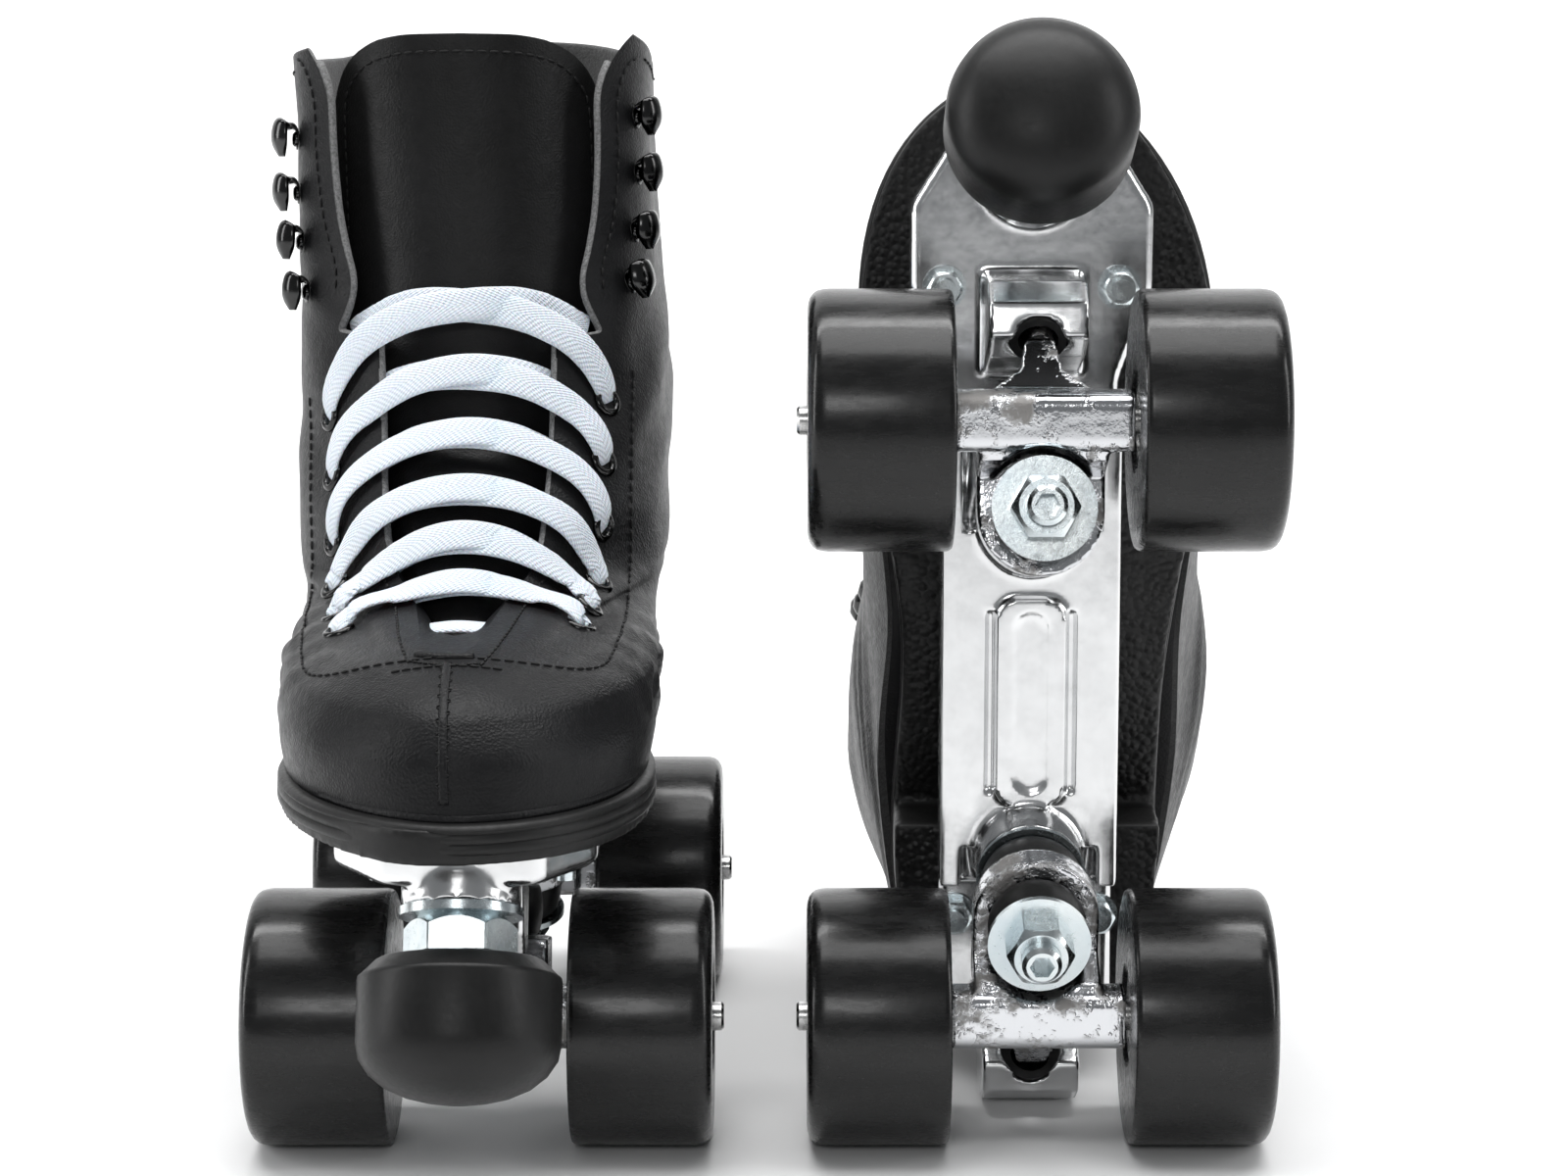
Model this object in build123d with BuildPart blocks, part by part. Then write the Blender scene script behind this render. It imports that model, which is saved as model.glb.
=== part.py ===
from build123d import *
import os
from math import cos, radians, sin, tan

# Pair of quad roller skates, millimetres, +Z up. Each skate is modelled in its own frame: toe towards -Y,
# wheels on Z = 0, Y = 0 midway between the axles, lateral side of the right foot towards -X.
# The right skate stands on its wheels. The left one is its mirror image and lies on its rear wheels and cuff.

# ---- driving dimensions -------------------------------------------------------------------------------------
WHEEL_R = 31.0            # 62 mm wheel
WHEEL_W = 34.0
WHEEL_X = 38.5            # middle of a wheel from the centre line
HALF_BASE = 72.5          # half of the 145 mm wheelbase
AXLE_R = 3.5              # 7 mm axle
AXLE_END = 58.0
BEARING_R = 11.0          # 627 bearing: 7 x 22 x 7
BEARING_W = 7.0
PLATE_TOP = 88.0          # the boot's sole rests here
PLATE_T = 8.0
RAIL_Z = 68.0             # underside of the plate's rails
RAIL_X = 22.0
KINGPIN_R = 4.76          # 3/8 inch kingpin
KINGPIN_LEAN = 13.0       # degrees, nut end leaning away from the middle of the plate
KINGPIN_FOOT = (0, -52.5, 25.0)
CUSHION_R = 12.0
STEER_PIVOT = (0, -91.0, 57.0)
TOE_TILT = 24.0           # toe stop's axis, degrees forward from vertical
TOE_RIM = (0, -144.0, 45.0)
SOLE_T = 8.0
HEEL_RISE = 16.0          # the heel rests this much higher than the ball of the foot
WALL = 3.0                # leather and lining of the upper
BOOT_TOP = 262.0

# where the two skates stand, so that the pair's bounding box is centred on the origin
RIGHT_XY = (-66.75, 3.5)
LEFT_XY = (66.75, -100.0)
CUFF_REACH = HALF_BASE + WHEEL_R   # the lying skate's rear wheels and cuff both touch the floor

PARTS = "parts"
os.makedirs(PARTS, exist_ok=True)


def both(piece, name):
    """Writes a piece of the right skate and its mirror image in the left skate, each in its own place."""
    solids = Compound(piece.solids())
    right = solids.moved(Location((*RIGHT_XY, 0)))
    left = mirror(solids, about=Plane.YZ).moved(Location((*LEFT_XY, CUFF_REACH), (-90, 0, 0)))
    for side, shape in (("right", right), ("left", left)):
        shape.label = f"{side}_{name}"
        export_step(shape, f"{PARTS}/{side}_{name}.step")


def up_axis(origin, lean):
    """Plane at origin whose normal leans by that many degrees from +Z towards +Y."""
    a = radians(lean)
    return Plane(origin=origin, x_dir=(1, 0, 0), z_dir=(0, sin(a), cos(a)))


def front_and_rear(piece):
    """The piece and its mirror image about the middle of the wheelbase, as one group of solids."""
    return Compound(children=[piece, mirror(piece, about=Plane.XZ)])


KINGPIN = up_axis(KINGPIN_FOOT, KINGPIN_LEAN)
TOE_STOP = up_axis(TOE_RIM, TOE_TILT)

# heights along the kingpin, from the lower washer's face
WASHER_T = 1.5
LOWER_CUSHION = 11.0
RING_GAP = 0.2
RING_T = 8.6
UPPER_CUSHION_FOOT = LOWER_CUSHION + 2 * RING_GAP + RING_T
UPPER_CUSHION = 13.0
SEAT = UPPER_CUSHION_FOOT + UPPER_CUSHION + WASHER_T
NUT_T = 7.0
RING_MIDDLE = LOWER_CUSHION + RING_GAP + RING_T / 2

# ---- boot outline at each height: toe tip, toe corners, ball, waist, heel, back corners, back ---------------


def outline(middle, toe, corner, corner_y, ball, ball_y, waist, waist_y, heel, heel_y, back, offset=0.0):
    """Twelve points round the foot. Each width is (medial, lateral); offset moves them all inwards."""
    o = offset
    return [
        (middle, toe + o),
        (corner[0] - 0.7 * o, corner_y + 0.7 * o), (ball[0] - o, ball_y),
        (waist[0] - o, waist_y), (heel[0] - o, heel_y), (0.62 * heel[0] - 0.7 * o, back - 7 - 0.7 * o),
        (middle, back - o),
        (-0.62 * heel[1] + 0.7 * o, back - 7 - 0.7 * o), (o - heel[1], heel_y), (o - waist[1], waist_y),
        (o - ball[1], ball_y), (0.7 * o - corner[1], corner_y + 0.7 * o),
    ]


# height: middle, toe, corner widths and y, ball widths and y, waist widths and y, heel widths and y, back
UPPER_SECTIONS = {
    88.0: (0, -148, (25, 23), -134, (39, 43), -86, (32, 37), -8, (30, 32), 60, 95),
    108.0: (0, -148, (27, 26), -133, (42, 46), -88, (38, 43), -10, (33, 35), 60, 97),
    118.0: (-2, -142, (24, 25), -127, (41, 44.5), -86, (40, 46), -12, (34, 37), 60, 98),
    125.0: (-2, -130, (20, 22), -112, (31, 35), -78, (41, 47.5), -14, (35, 39), 60, 98),
    129.5: (-3, -116, (12, 15), -103, (20, 24), -76, (41, 48.5), -14, (35, 40), 60, 98),
    134.0: (-4, -82, (12, 17), -74, (24, 30), -54, (41.5, 49.5), -10, (35, 41), 60, 97),
    150.0: (-5, -60, (16, 22), -51, (33, 39), -30, (42.5, 51), 0, (36, 43), 60, 95),
    172.0: (-6, -37, (20, 28), -28, (37, 44), -8, (43, 52), 14, (38, 45), 62, 93),
    200.0: (-6, -21, (22, 33), -13, (38, 50), 8, (41.5, 52), 28, (37, 46), 66, 94),
    232.0: (-7, -13, (22, 36), -6, (37.5, 51), 15, (39, 53), 38, (36, 47), 72, 99),
    BOOT_TOP: (-8, -8, (22, 38), -1, (36, 52), 19, (38, 53.5), 42, (34, 48), 76, CUFF_REACH - 0.23),
}
SOLE_OUTLINE = outline(0, -151, (28, 26), -137, (42, 46), -86, (31, 36), -8, (32, 33), 60, 97)
# the lacing and the shaft lean towards the lateral side as they rise
MIDDLE_AT_FOOT = -4.0
FOOT_HEIGHT = 129.0
LEAN = -0.031


def middle(height):
    """X of the middle of the throat at a height."""
    return MIDDLE_AT_FOOT + LEAN * (height - FOOT_HEIGHT)


def below_foot(height, gap=0.0):
    """Everything under the line where the foot rests: the forefoot's level, the rise and the heel's level."""
    with BuildPart() as below:
        with BuildSketch(Plane.YZ.offset(-80)):
            with BuildLine() as rim:
                fore = Line((-170, height - gap), (-20, height - gap))
                heel = Line((36, height + HEEL_RISE - gap), (130, height + HEEL_RISE - gap))
                Spline(fore @ 1, heel @ 0, tangents=((1, 0), (1, 0)))
                Polyline(heel @ 1, (130, 40), (-170, 40), fore @ 0)
            make_face()
        extrude(amount=160)
    return below.part


def boot_form(offset, top=BOOT_TOP, bottom=88.0):
    """The upper's outer form, moved inwards by offset and stretched to run past its ends."""
    with BuildPart() as form:
        heights = sorted(UPPER_SECTIONS)
        for z in heights:
            level = bottom if z == heights[0] else top if z == heights[-1] else z
            with BuildSketch(Plane.XY.offset(level)):
                with BuildLine():
                    Spline(*outline(*UPPER_SECTIONS[z], offset=offset), periodic=True)
                make_face()
        loft(ruled=True)
    return form.part


# half of the opening in the front of the upper, as (half width, height): V, eyelet facing, notch, hook flap
THROAT = [(0, 129), (5.5, 129.5), (12, 134), (19, 141), (21, 160), (22, 189), (34, 190), (28, 201), (34, 225),
          (33, 250), (33, 280)]
THROAT_BACK = 24.0
# the tongue's bowed cross-sections, as (height, half width, front, front at the sides), and its own outline
TONGUE_BOWS = [(121.0, 12, -86, -78), (134.0, 13, -75, -66), (150.0, 22, -54.5, -34), (172.0, 29, -31, -8),
               (200.0, 32, -16, 1), (232.0, 32, -8, 6), (266.0, 32, -3, 9)]
TONGUE = [(0, 122), (20, 124), (30, 150), (32, 240), (29, 253), (20, 261), (0, 264)]


def front_prism(profile, back):
    """Solid in front of Y = back whose view from the front is the profile and its mirror image."""
    with BuildPart() as prism:
        with BuildSketch(Plane((0, back, 0), x_dir=(1, 0, 0), z_dir=(0, -1, 0))):
            with BuildLine():
                medial = [(middle(z) + x, z) for x, z in profile]
                lateral = [(middle(z) - x, z) for x, z in reversed(profile) if x > 0]
                Polyline(*medial, *lateral, close=True)
            make_face()
        extrude(amount=200)
    return prism.part


OUTER = boot_form(0)
THROAT_PRISM = front_prism(THROAT, THROAT_BACK)

# lacing: six eyelet rows and four hook rows up each side of the throat, as (half span, reach). The reach of a
# point is its Y plus its Z, which grows steadily along the instep and up the shaft.
EYELET_ROWS = [(28.5, 49.0), (30.3, 65.0), (32.0, 85.0), (33.2, 107.0), (33.6, 131.0), (34.6, 155.0)]
HOOK_ROWS = [(40.5, 203.0), (42.0, 221.0), (43.0, 239.0), (43.0, 256.0)]
EYELET_HOLE = 2.2
EYELET_BARREL = 2.7
EYELET_FLANGE = 4.0
EYELET_FLANGE_T = 1.0
HOOK_W = 5.0


def on_upper(span, reach):
    """Point and outward normal of the upper's front, that far from the throat's middle at that reach."""
    x = middle(FOOT_HEIGHT + (reach - 47) / 1.56) + span
    hits = OUTER.find_intersection_points(Axis((x, -200, reach + 200), (0, 1, -1)))
    return min(hits, key=lambda hit: hit[0].Y)


def facing(point, normal):
    """Plane at the point with its normal out of the leather, its X level and its Y up the leather."""
    n = Vector(normal.X, normal.Y, normal.Z).normalized()
    if n.Y > 0:
        n = n * -1
    level = Vector(0, 0, 1).cross(n)
    return Plane(origin=point, x_dir=level.normalized(), z_dir=n)


def both_sides(rows):
    return [facing(*on_upper(side * span, reach)) for span, reach in rows for side in (1, -1)]


EYELET_PLANES = both_sides(EYELET_ROWS)
HOOK_PLANES = both_sides(HOOK_ROWS)


def make_upper():
    with BuildPart() as upper:
        add(OUTER)
        add(boot_form(WALL, BOOT_TOP + 2, 86.0), mode=Mode.SUBTRACT)
        add(below_foot(PLATE_TOP + SOLE_T, -0.5), mode=Mode.SUBTRACT)
        add(THROAT_PRISM, mode=Mode.SUBTRACT)
        for plane in EYELET_PLANES:
            with BuildSketch(plane.offset(-7)):
                Circle(EYELET_BARREL + 0.3)
            extrude(amount=14, mode=Mode.SUBTRACT)
            with BuildSketch(plane.offset(0.8)):
                Circle(EYELET_FLANGE + 0.4)
            extrude(amount=6, mode=Mode.SUBTRACT)
    return upper.part


def make_tongue():
    """Leather tongue behind the throat, a bowed strip rounded at its top corners."""
    with BuildPart() as tongue:
        for height, half, front, side in TONGUE_BOWS:
            with BuildSketch(Plane.XY.offset(height)):
                with BuildLine():
                    centre = middle(height)
                    left, right = centre - half, centre + half
                    ThreePointArc((left, side), (centre, front), (right, side))
                    Line((right, side), (right, side + WALL))
                    ThreePointArc((right, side + WALL), (centre, front + WALL), (left, side + WALL))
                    Line((left, side + WALL), (left, side))
                make_face()
        loft(ruled=True)
        add(front_prism(TONGUE, 30.0), mode=Mode.INTERSECT)
    return tongue.part


def make_outsole():
    """Moulded sole with its heel: flat under the forefoot, arched at the waist, a breasted heel block."""
    with BuildPart() as outsole:
        with BuildSketch(Plane.XY.offset(PLATE_TOP)):
            with BuildLine():
                Spline(*SOLE_OUTLINE, periodic=True)
            make_face()
        extrude(amount=SOLE_T + HEEL_RISE + 1)
        add(below_foot(PLATE_TOP + SOLE_T), mode=Mode.INTERSECT)
        with BuildSketch(Plane.YZ.offset(-80)):
            with BuildLine():
                ThreePointArc((-28, PLATE_TOP), (14, PLATE_TOP + 8), (37, PLATE_TOP + 16))
                Polyline((37, PLATE_TOP + 16), (39, PLATE_TOP - 1), (-28, PLATE_TOP - 1), (-28, PLATE_TOP))
            make_face()
        extrude(amount=160, mode=Mode.SUBTRACT)
        for x, y in MOUNTING:
            with Locations((x, y, sole_top(y))):
                CounterBoreHole(SCREW_R + 0.1, SCREW_HEAD_R + 0.2, SCREW_HEAD_T)
    return outsole.part


def make_insole():
    """Footbed that closes the bottom of the upper."""
    with BuildPart() as insole:
        with BuildSketch(Plane.XY.offset(PLATE_TOP)):
            with BuildLine():
                Spline(*outline(*UPPER_SECTIONS[88.0], offset=WALL + 2), periodic=True)
            make_face()
        extrude(amount=60)
        add(below_foot(PLATE_TOP + SOLE_T, -4.6), mode=Mode.INTERSECT)
        add(below_foot(PLATE_TOP + SOLE_T, -0.6), mode=Mode.SUBTRACT)
    return insole.part


def make_eyelets():
    """Rolled metal eyelets: a flange on the leather and a barrel through it."""
    rings = []
    for plane in EYELET_PLANES:
        with BuildPart() as ring:
            with BuildSketch(plane.offset(1.0)):
                Circle(EYELET_FLANGE)
                Circle(EYELET_HOLE, mode=Mode.SUBTRACT)
            extrude(amount=EYELET_FLANGE_T)
            with BuildSketch(plane.offset(-2.6)):
                Circle(EYELET_BARREL)
                Circle(EYELET_HOLE, mode=Mode.SUBTRACT)
            extrude(amount=3.6)
        rings.append(ring.part)
    return Compound(children=rings)


def make_hooks():
    """Speed-lace hooks: a foot on the leather, a stem and a cap that hangs down outside the lace."""
    hooks = []
    for plane in HOOK_PLANES:
        foot = plane.offset(1.6)
        across = Plane(origin=foot.origin, x_dir=foot.z_dir, z_dir=-foot.x_dir)
        with BuildPart() as hook:
            with BuildSketch(across.offset(-HOOK_W / 2)):
                with BuildLine():
                    Polyline((0, -3.5), (1, -3.5), (1, 0.6), (4.6, 0.6), (5.6, -1), (5.6, -5), (7, -5), (7.4, 1),
                             (6, 2.6), (1, 2.6), (1, 3.5), (0, 3.5), close=True)
                make_face()
            extrude(amount=HOOK_W)
        hooks.append(hook.part)
    return Compound(children=hooks)


# ---- lace: one cord of round section, laced criss-cross up the six eyelet rows ------------------------------
LACE_R = 0.85
LEATHER_STEPS = (0.35, 0.65, 0.88)  # of an eyelet's span, where the lace bends over the leather
LIFT = 3.2                # from the leather's surface to the lace's middle
LIFT_AT_EYELET = 5.0
EYELET_TURN = [(0.0, -3.8), (1.6, 0.0), (0.0, 3.2)]  # the lace's bend at an eyelet, outwards and up from it
CROSSING = 3.2            # the upper half of the lace passes this far over the other one


def over_leather(span, reach, lift):
    point, normal = on_upper(span, reach)
    return point + facing(point, normal).z_dir * lift


def lace_route(start, crossing):
    """Half of the lace: from the middle of the lowest row to start's side, then crossing at each row."""
    width, low = EYELET_ROWS[0]
    points = [over_leather(0, low + 2, LIFT)]
    points += [over_leather(start * part * width, low + 2 - 9 * part, LIFT) for part in LEATHER_STEPS]
    side = start
    for row, (x, reach) in enumerate(EYELET_ROWS):
        eyelet = EYELET_PLANES[2 * row + (0 if side > 0 else 1)]
        for outward, up in EYELET_TURN:
            points.append(eyelet.from_local_coords((side * outward, up, LIFT_AT_EYELET)))
        if row + 1 < len(EYELET_ROWS):
            rise = EYELET_ROWS[row + 1][1] - reach
            for part in (*reversed(LEATHER_STEPS), 0.0, *(-step for step in LEATHER_STEPS)):
                lift = LIFT if part else LIFT + crossing
                points.append(over_leather(side * part * x, reach + (1 - part) / 2 * rise, lift))
        side = -side
    return points


def make_lace():
    halves = []
    for start, crossing in ((1, 0.0), (-1, CROSSING)):
        points = lace_route(start, crossing)
        runs = [(b - a).length for a, b in zip(points, points[1:])]
        radii = []
        for i in range(1, len(points) - 1):
            turn = (points[i] - points[i - 1]).get_angle(points[i + 1] - points[i])
            radii.append(0.45 * min(runs[i - 1], runs[i]) / tan(radians(turn / 2)))
        with BuildPart() as half:
            with BuildLine() as path:
                FilletPolyline(*points, radius=radii)
            line = path.wires()[0]
            with BuildSketch(Plane(origin=line @ 0, z_dir=line % 0)):
                Circle(LACE_R)
            sweep(transition=Transition.ROUND)
        halves.append(half.part)
    return Compound(children=halves)


# ---- plate and its fasteners --------------------------------------------------------------------------------
SCREW_R = 2.5
SCREW_HEAD_R = 4.6
SCREW_HEAD_T = 2.6
MOUNTING = [(21.5, -99.0), (-21.5, -99.0), (18.0, 60.0), (-18.0, 60.0)]
PLATE_SIDE = [(0, -141), (18, -138), (30, -119), (30, -98), (RAIL_X, -76), (RAIL_X, 84), (13, 96), (0, 96)]
POCKET_R = 16.8           # room for the upper washer
BOSS_R = 13.5
TOE_BOSS_R = 13.5
SPOT_FACE_R = 15.0        # flat round the toe stop's boss for its washer
STEM_R = 7.95
CUP_R = 7.0
PIN_R = 3.6
BALL_R = 4.4
ARM_FOOT = (0, -75.0, 36.0)


def arm_plane():
    """Plane at the pivot whose normal points up the hanger's pivot arm."""
    up = (Vector(*STEER_PIVOT) - Vector(*ARM_FOOT)).normalized()
    return Plane(origin=STEER_PIVOT, x_dir=(1, 0, 0), z_dir=(up.X, up.Y, up.Z))


ARM = arm_plane()


def round_bar(plane, radius, low, high):
    """Cylinder along the plane's normal between two heights above it."""
    with BuildPart() as bar:
        with BuildSketch(plane.offset(low)):
            Circle(radius)
        extrude(amount=high - low)
    return bar.part


def end_block(front):
    """Underside of one end of the plate: pivot boss and the rails beside the cushions, at the front end."""
    with BuildPart() as block:
        with BuildSketch(Plane.XY.offset(RAIL_Z)):
            with Locations((0, -34 if front else -25)):
                Rectangle(2 * RAIL_X, 68 if front else 50)
        extrude(amount=PLATE_TOP - PLATE_T - RAIL_Z + 1)
        add(round_bar(KINGPIN, POCKET_R, -5, SEAT + 6), mode=Mode.SUBTRACT)
        with BuildSketch(Plane.XY.offset(RAIL_Z - 1)):
            with Locations((0, -62)):
                Rectangle(2 * POCKET_R, 44)
        extrude(amount=7, mode=Mode.SUBTRACT)
        add(round_bar(KINGPIN, BOSS_R, SEAT, 58))
        with BuildSketch(Plane.YZ.offset(-12)):
            with BuildLine():
                Polyline((-102.5, 82), (-102.5, 60), (-98, 51), (-90, 49), (-84, 60), (-77, 82), close=True)
            make_face()
        extrude(amount=24)
        add(round_bar(ARM, CUP_R, -12, 6), mode=Mode.SUBTRACT)
    return block.part


def make_plate():
    with BuildPart() as plate:
        with BuildSketch(Plane.XY.offset(PLATE_TOP - PLATE_T)):
            with BuildLine():
                Polyline(*PLATE_SIDE, *[(-x, y) for x, y in reversed(PLATE_SIDE) if x > 0], close=True)
            make_face()
            fillet(vertices().filter_by(lambda v: abs(v.X) > 5), 7)
        extrude(amount=PLATE_T)
        edges_below = faces().sort_by(Axis.Z)[0].outer_wire().edges()
        chamfer(edges_below, 1.6)
        add(end_block(True))
        add(mirror(end_block(False), about=Plane.XZ))
        add(round_bar(TOE_STOP, SPOT_FACE_R, 15, 31), mode=Mode.SUBTRACT)
        add(round_bar(TOE_STOP, TOE_BOSS_R, 31, 44))
        with BuildSketch(Plane.XY.offset(RAIL_Z - 1.6)):
            with Locations((0, 3)):
                RectangleRounded(17, 52, 5)
        extrude(amount=3)
        with BuildSketch(Plane.XY.offset(RAIL_Z - 1.6)):
            with Locations((0, 3)):
                SlotOverall(46, 9, rotation=90)
        extrude(amount=0.8, mode=Mode.SUBTRACT)
        for side in (1, -1):
            with BuildSketch(Plane.XY.offset(RAIL_Z)):
                with Locations((side * 10, 3)):
                    Rectangle(2, 46)
            extrude(amount=1.5, mode=Mode.SUBTRACT)
        for x, y in MOUNTING:
            with Locations((x, y, PLATE_TOP)):
                Hole(SCREW_R + 0.1)
        kingpin_bore = round_bar(KINGPIN, KINGPIN_R + 0.04, 20, 80)
        add(kingpin_bore, mode=Mode.SUBTRACT)
        add(mirror(kingpin_bore, about=Plane.XZ), mode=Mode.SUBTRACT)
        add(round_bar(TOE_STOP, STEM_R + 0.05, 20, 60), mode=Mode.SUBTRACT)
        with BuildSketch(Plane.XY.offset(PLATE_TOP)):
            Rectangle(90, 320)
        extrude(amount=40, mode=Mode.SUBTRACT)
    return plate.part


def sole_top(y):
    """Height of the outsole's top face, which the screws' heads are level with."""
    return PLATE_TOP + SOLE_T + (HEEL_RISE if y > 0 else 0)


def make_mounting_screws():
    screws = []
    for x, y in MOUNTING:
        with BuildPart() as screw:
            with BuildSketch(Plane((x, y, 72.0))):
                Circle(SCREW_R)
            extrude(amount=sole_top(y) - 72.0)
            with BuildSketch(Plane((x, y, sole_top(y) - SCREW_HEAD_T))):
                Circle(SCREW_HEAD_R)
            extrude(amount=SCREW_HEAD_T)
        screws.append(screw.part)
    return Compound(children=screws)


def hex_nut(plane, across_flats, height, bore, flange=0.0):
    """Hexagonal nut above the plane, rounded off at its outer end, with an optional round flange at its seat."""
    corner = across_flats / 2 * 1.14
    with BuildPart() as nut:
        with BuildSketch(plane):
            Circle(corner)
        extrude(amount=height)
        chamfer(faces().sort_by(Axis(plane.origin, plane.z_dir))[-1].edges(), 0.12 * across_flats)
        with BuildSketch(plane):
            RegularPolygon(across_flats / 2, 6, major_radius=False)
        extrude(amount=height, mode=Mode.INTERSECT)
        if flange:
            with BuildSketch(plane):
                Circle(flange)
            extrude(amount=1.0)
        with BuildSketch(plane):
            Circle(bore)
        extrude(amount=height, mode=Mode.SUBTRACT)
    return nut.part


def make_mounting_nuts():
    down = [Plane((x, y, PLATE_TOP - PLATE_T), z_dir=(0, 0, -1)) for x, y in MOUNTING]
    return Compound(children=[hex_nut(plane, 8.0, 5.5, SCREW_R + 0.05, 5.4) for plane in down])


def make_kingpins():
    """Kingpin screwed up into the plate, with a hexagon socket in its free end."""
    with BuildPart() as pin:
        add(round_bar(KINGPIN, KINGPIN_R, -12.5, 60))
        chamfer(edges().filter_by(GeomType.CIRCLE).sort_by(Axis.Z)[0], 1.0)
        with BuildSketch(KINGPIN.offset(-12.5)):
            RegularPolygon(2.6, 6, major_radius=False)
        extrude(amount=5, mode=Mode.SUBTRACT)
    return front_and_rear(pin.part)


def make_kingpin_nuts():
    seat = KINGPIN.offset(-WASHER_T)
    down = Plane(origin=seat.origin, x_dir=seat.x_dir, z_dir=-seat.z_dir)
    return front_and_rear(hex_nut(down, 14.3, NUT_T, KINGPIN_R + 0.05))


def make_cushion_washers():
    """Dished retaining washers, one under the lower cushion and one over the upper cushion."""
    with BuildPart() as lower:
        with BuildSketch(KINGPIN.offset(-WASHER_T)):
            Circle(CUSHION_R + 0.4)
            Circle(KINGPIN_R + 0.1, mode=Mode.SUBTRACT)
        extrude(amount=WASHER_T)
    with BuildPart() as upper:
        with BuildSketch(KINGPIN.offset(SEAT - WASHER_T)):
            Circle(CUSHION_R + 1.6)
            Circle(KINGPIN_R + 0.1, mode=Mode.SUBTRACT)
        extrude(amount=WASHER_T)
    return Compound(children=[front_and_rear(lower.part), front_and_rear(upper.part)])


def make_cushions():
    """Rubber cushions either side of the hanger's ring: a cone below it and a barrel above it."""
    with BuildPart() as lower:
        with BuildSketch(KINGPIN):
            Circle(CUSHION_R - 1.5)
        with BuildSketch(KINGPIN.offset(LOWER_CUSHION)):
            Circle(CUSHION_R)
        loft()
        add(round_bar(KINGPIN, KINGPIN_R + 0.15, -1, 40), mode=Mode.SUBTRACT)
    with BuildPart() as upper:
        for height, radius in ((0, 12.0), (0.5, 13.2), (1.0, 12.4)):
            with BuildSketch(KINGPIN.offset(UPPER_CUSHION_FOOT + height * UPPER_CUSHION)):
                Circle(radius)
        loft()
        add(round_bar(KINGPIN, KINGPIN_R + 0.15, -1, 60), mode=Mode.SUBTRACT)
    return Compound(children=[front_and_rear(lower.part), front_and_rear(upper.part)])


def make_pivot_cups():
    """Rubber cups in the plate that hold the ball of each hanger's pivot arm."""
    with BuildPart() as cup:
        add(round_bar(ARM, CUP_R - 0.05, -4, 6))
        with BuildSketch(ARM.offset(-5)):
            Circle(BALL_R + 0.5)
        extrude(amount=5, mode=Mode.SUBTRACT)
        with Locations(STEER_PIVOT):
            Sphere(BALL_R + 0.4, mode=Mode.SUBTRACT)
    return front_and_rear(cup.part)


# ---- trucks -------------------------------------------------------------------------------------------------
BAR_END = 21.0
BAR_R = 7.0
ARM_T = 8.0
RING_R = 15.2
LEG_CLEARANCE_R = CUSHION_R + 2.4   # room for the lower washer as the hanger steers
KINGPIN_CLEARANCE_R = 7.2


def make_hanger():
    """Cast hanger: axle housing, two arms up to the ring round the kingpin, and the pivot arm."""
    ring_plane = KINGPIN.offset(LOWER_CUSHION + RING_GAP)
    with BuildPart() as hanger:
        with BuildSketch(Plane.YZ.offset(-BAR_END)):
            with Locations((-HALF_BASE, WHEEL_R)):
                RectangleRounded(2 * BAR_R, 2 * BAR_R, 3.5)
        extrude(amount=2 * BAR_END)
        with BuildSketch(ring_plane):
            Circle(RING_R)
            with Locations((0, -9)):
                Rectangle(2 * RING_R, 18)
        extrude(amount=RING_T)
        with BuildSketch(Plane.YZ.offset(-RING_R)):
            with BuildLine():
                Polyline((-70, 25), (-63.5, 26.5), (-60, 34), (-58, 38), (-60, 46), (-72, 38), close=True)
            make_face()
        extrude(amount=2 * RING_R)
        add(round_bar(KINGPIN, LEG_CLEARANCE_R, -12, LOWER_CUSHION + RING_GAP), mode=Mode.SUBTRACT)
        add(round_bar(KINGPIN, KINGPIN_CLEARANCE_R, -12, 40), mode=Mode.SUBTRACT)
        arm = Plane(origin=ARM_FOOT, x_dir=(-1, 0, 0), z_dir=ARM.y_dir)
        with BuildSketch(arm.offset(-ARM_T / 2)):
            with BuildLine():
                Polyline((-16, -2), (16, -2), (5, 9), (PIN_R, 19), (-PIN_R, 19), (-5, 9), close=True)
            make_face()
        extrude(amount=ARM_T)
        add(round_bar(ARM, PIN_R, -14, 0))
        with Locations(STEER_PIVOT):
            Sphere(BALL_R)
        with BuildSketch(Plane.YZ.offset(-BAR_END - 1)):
            with Locations((-HALF_BASE, WHEEL_R)):
                Circle(AXLE_R + 0.05)
        extrude(amount=2 * BAR_END + 2, mode=Mode.SUBTRACT)
    return hanger.part


def make_axle():
    with BuildPart() as axle:
        with BuildSketch(Plane.YZ.offset(-AXLE_END)):
            with Locations((-HALF_BASE, WHEEL_R)):
                Circle(AXLE_R)
        extrude(amount=2 * AXLE_END)
        chamfer(edges().filter_by(GeomType.CIRCLE), 0.6)
    return axle.part


SEAT_OUT = WHEEL_X + 9.0      # outer face of the outer bearing
SEAT_IN = WHEEL_X - 16.0      # inner face of the inner bearing
AXLE_NUT_T = 6.0
SPACER_T = 1.0


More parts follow.
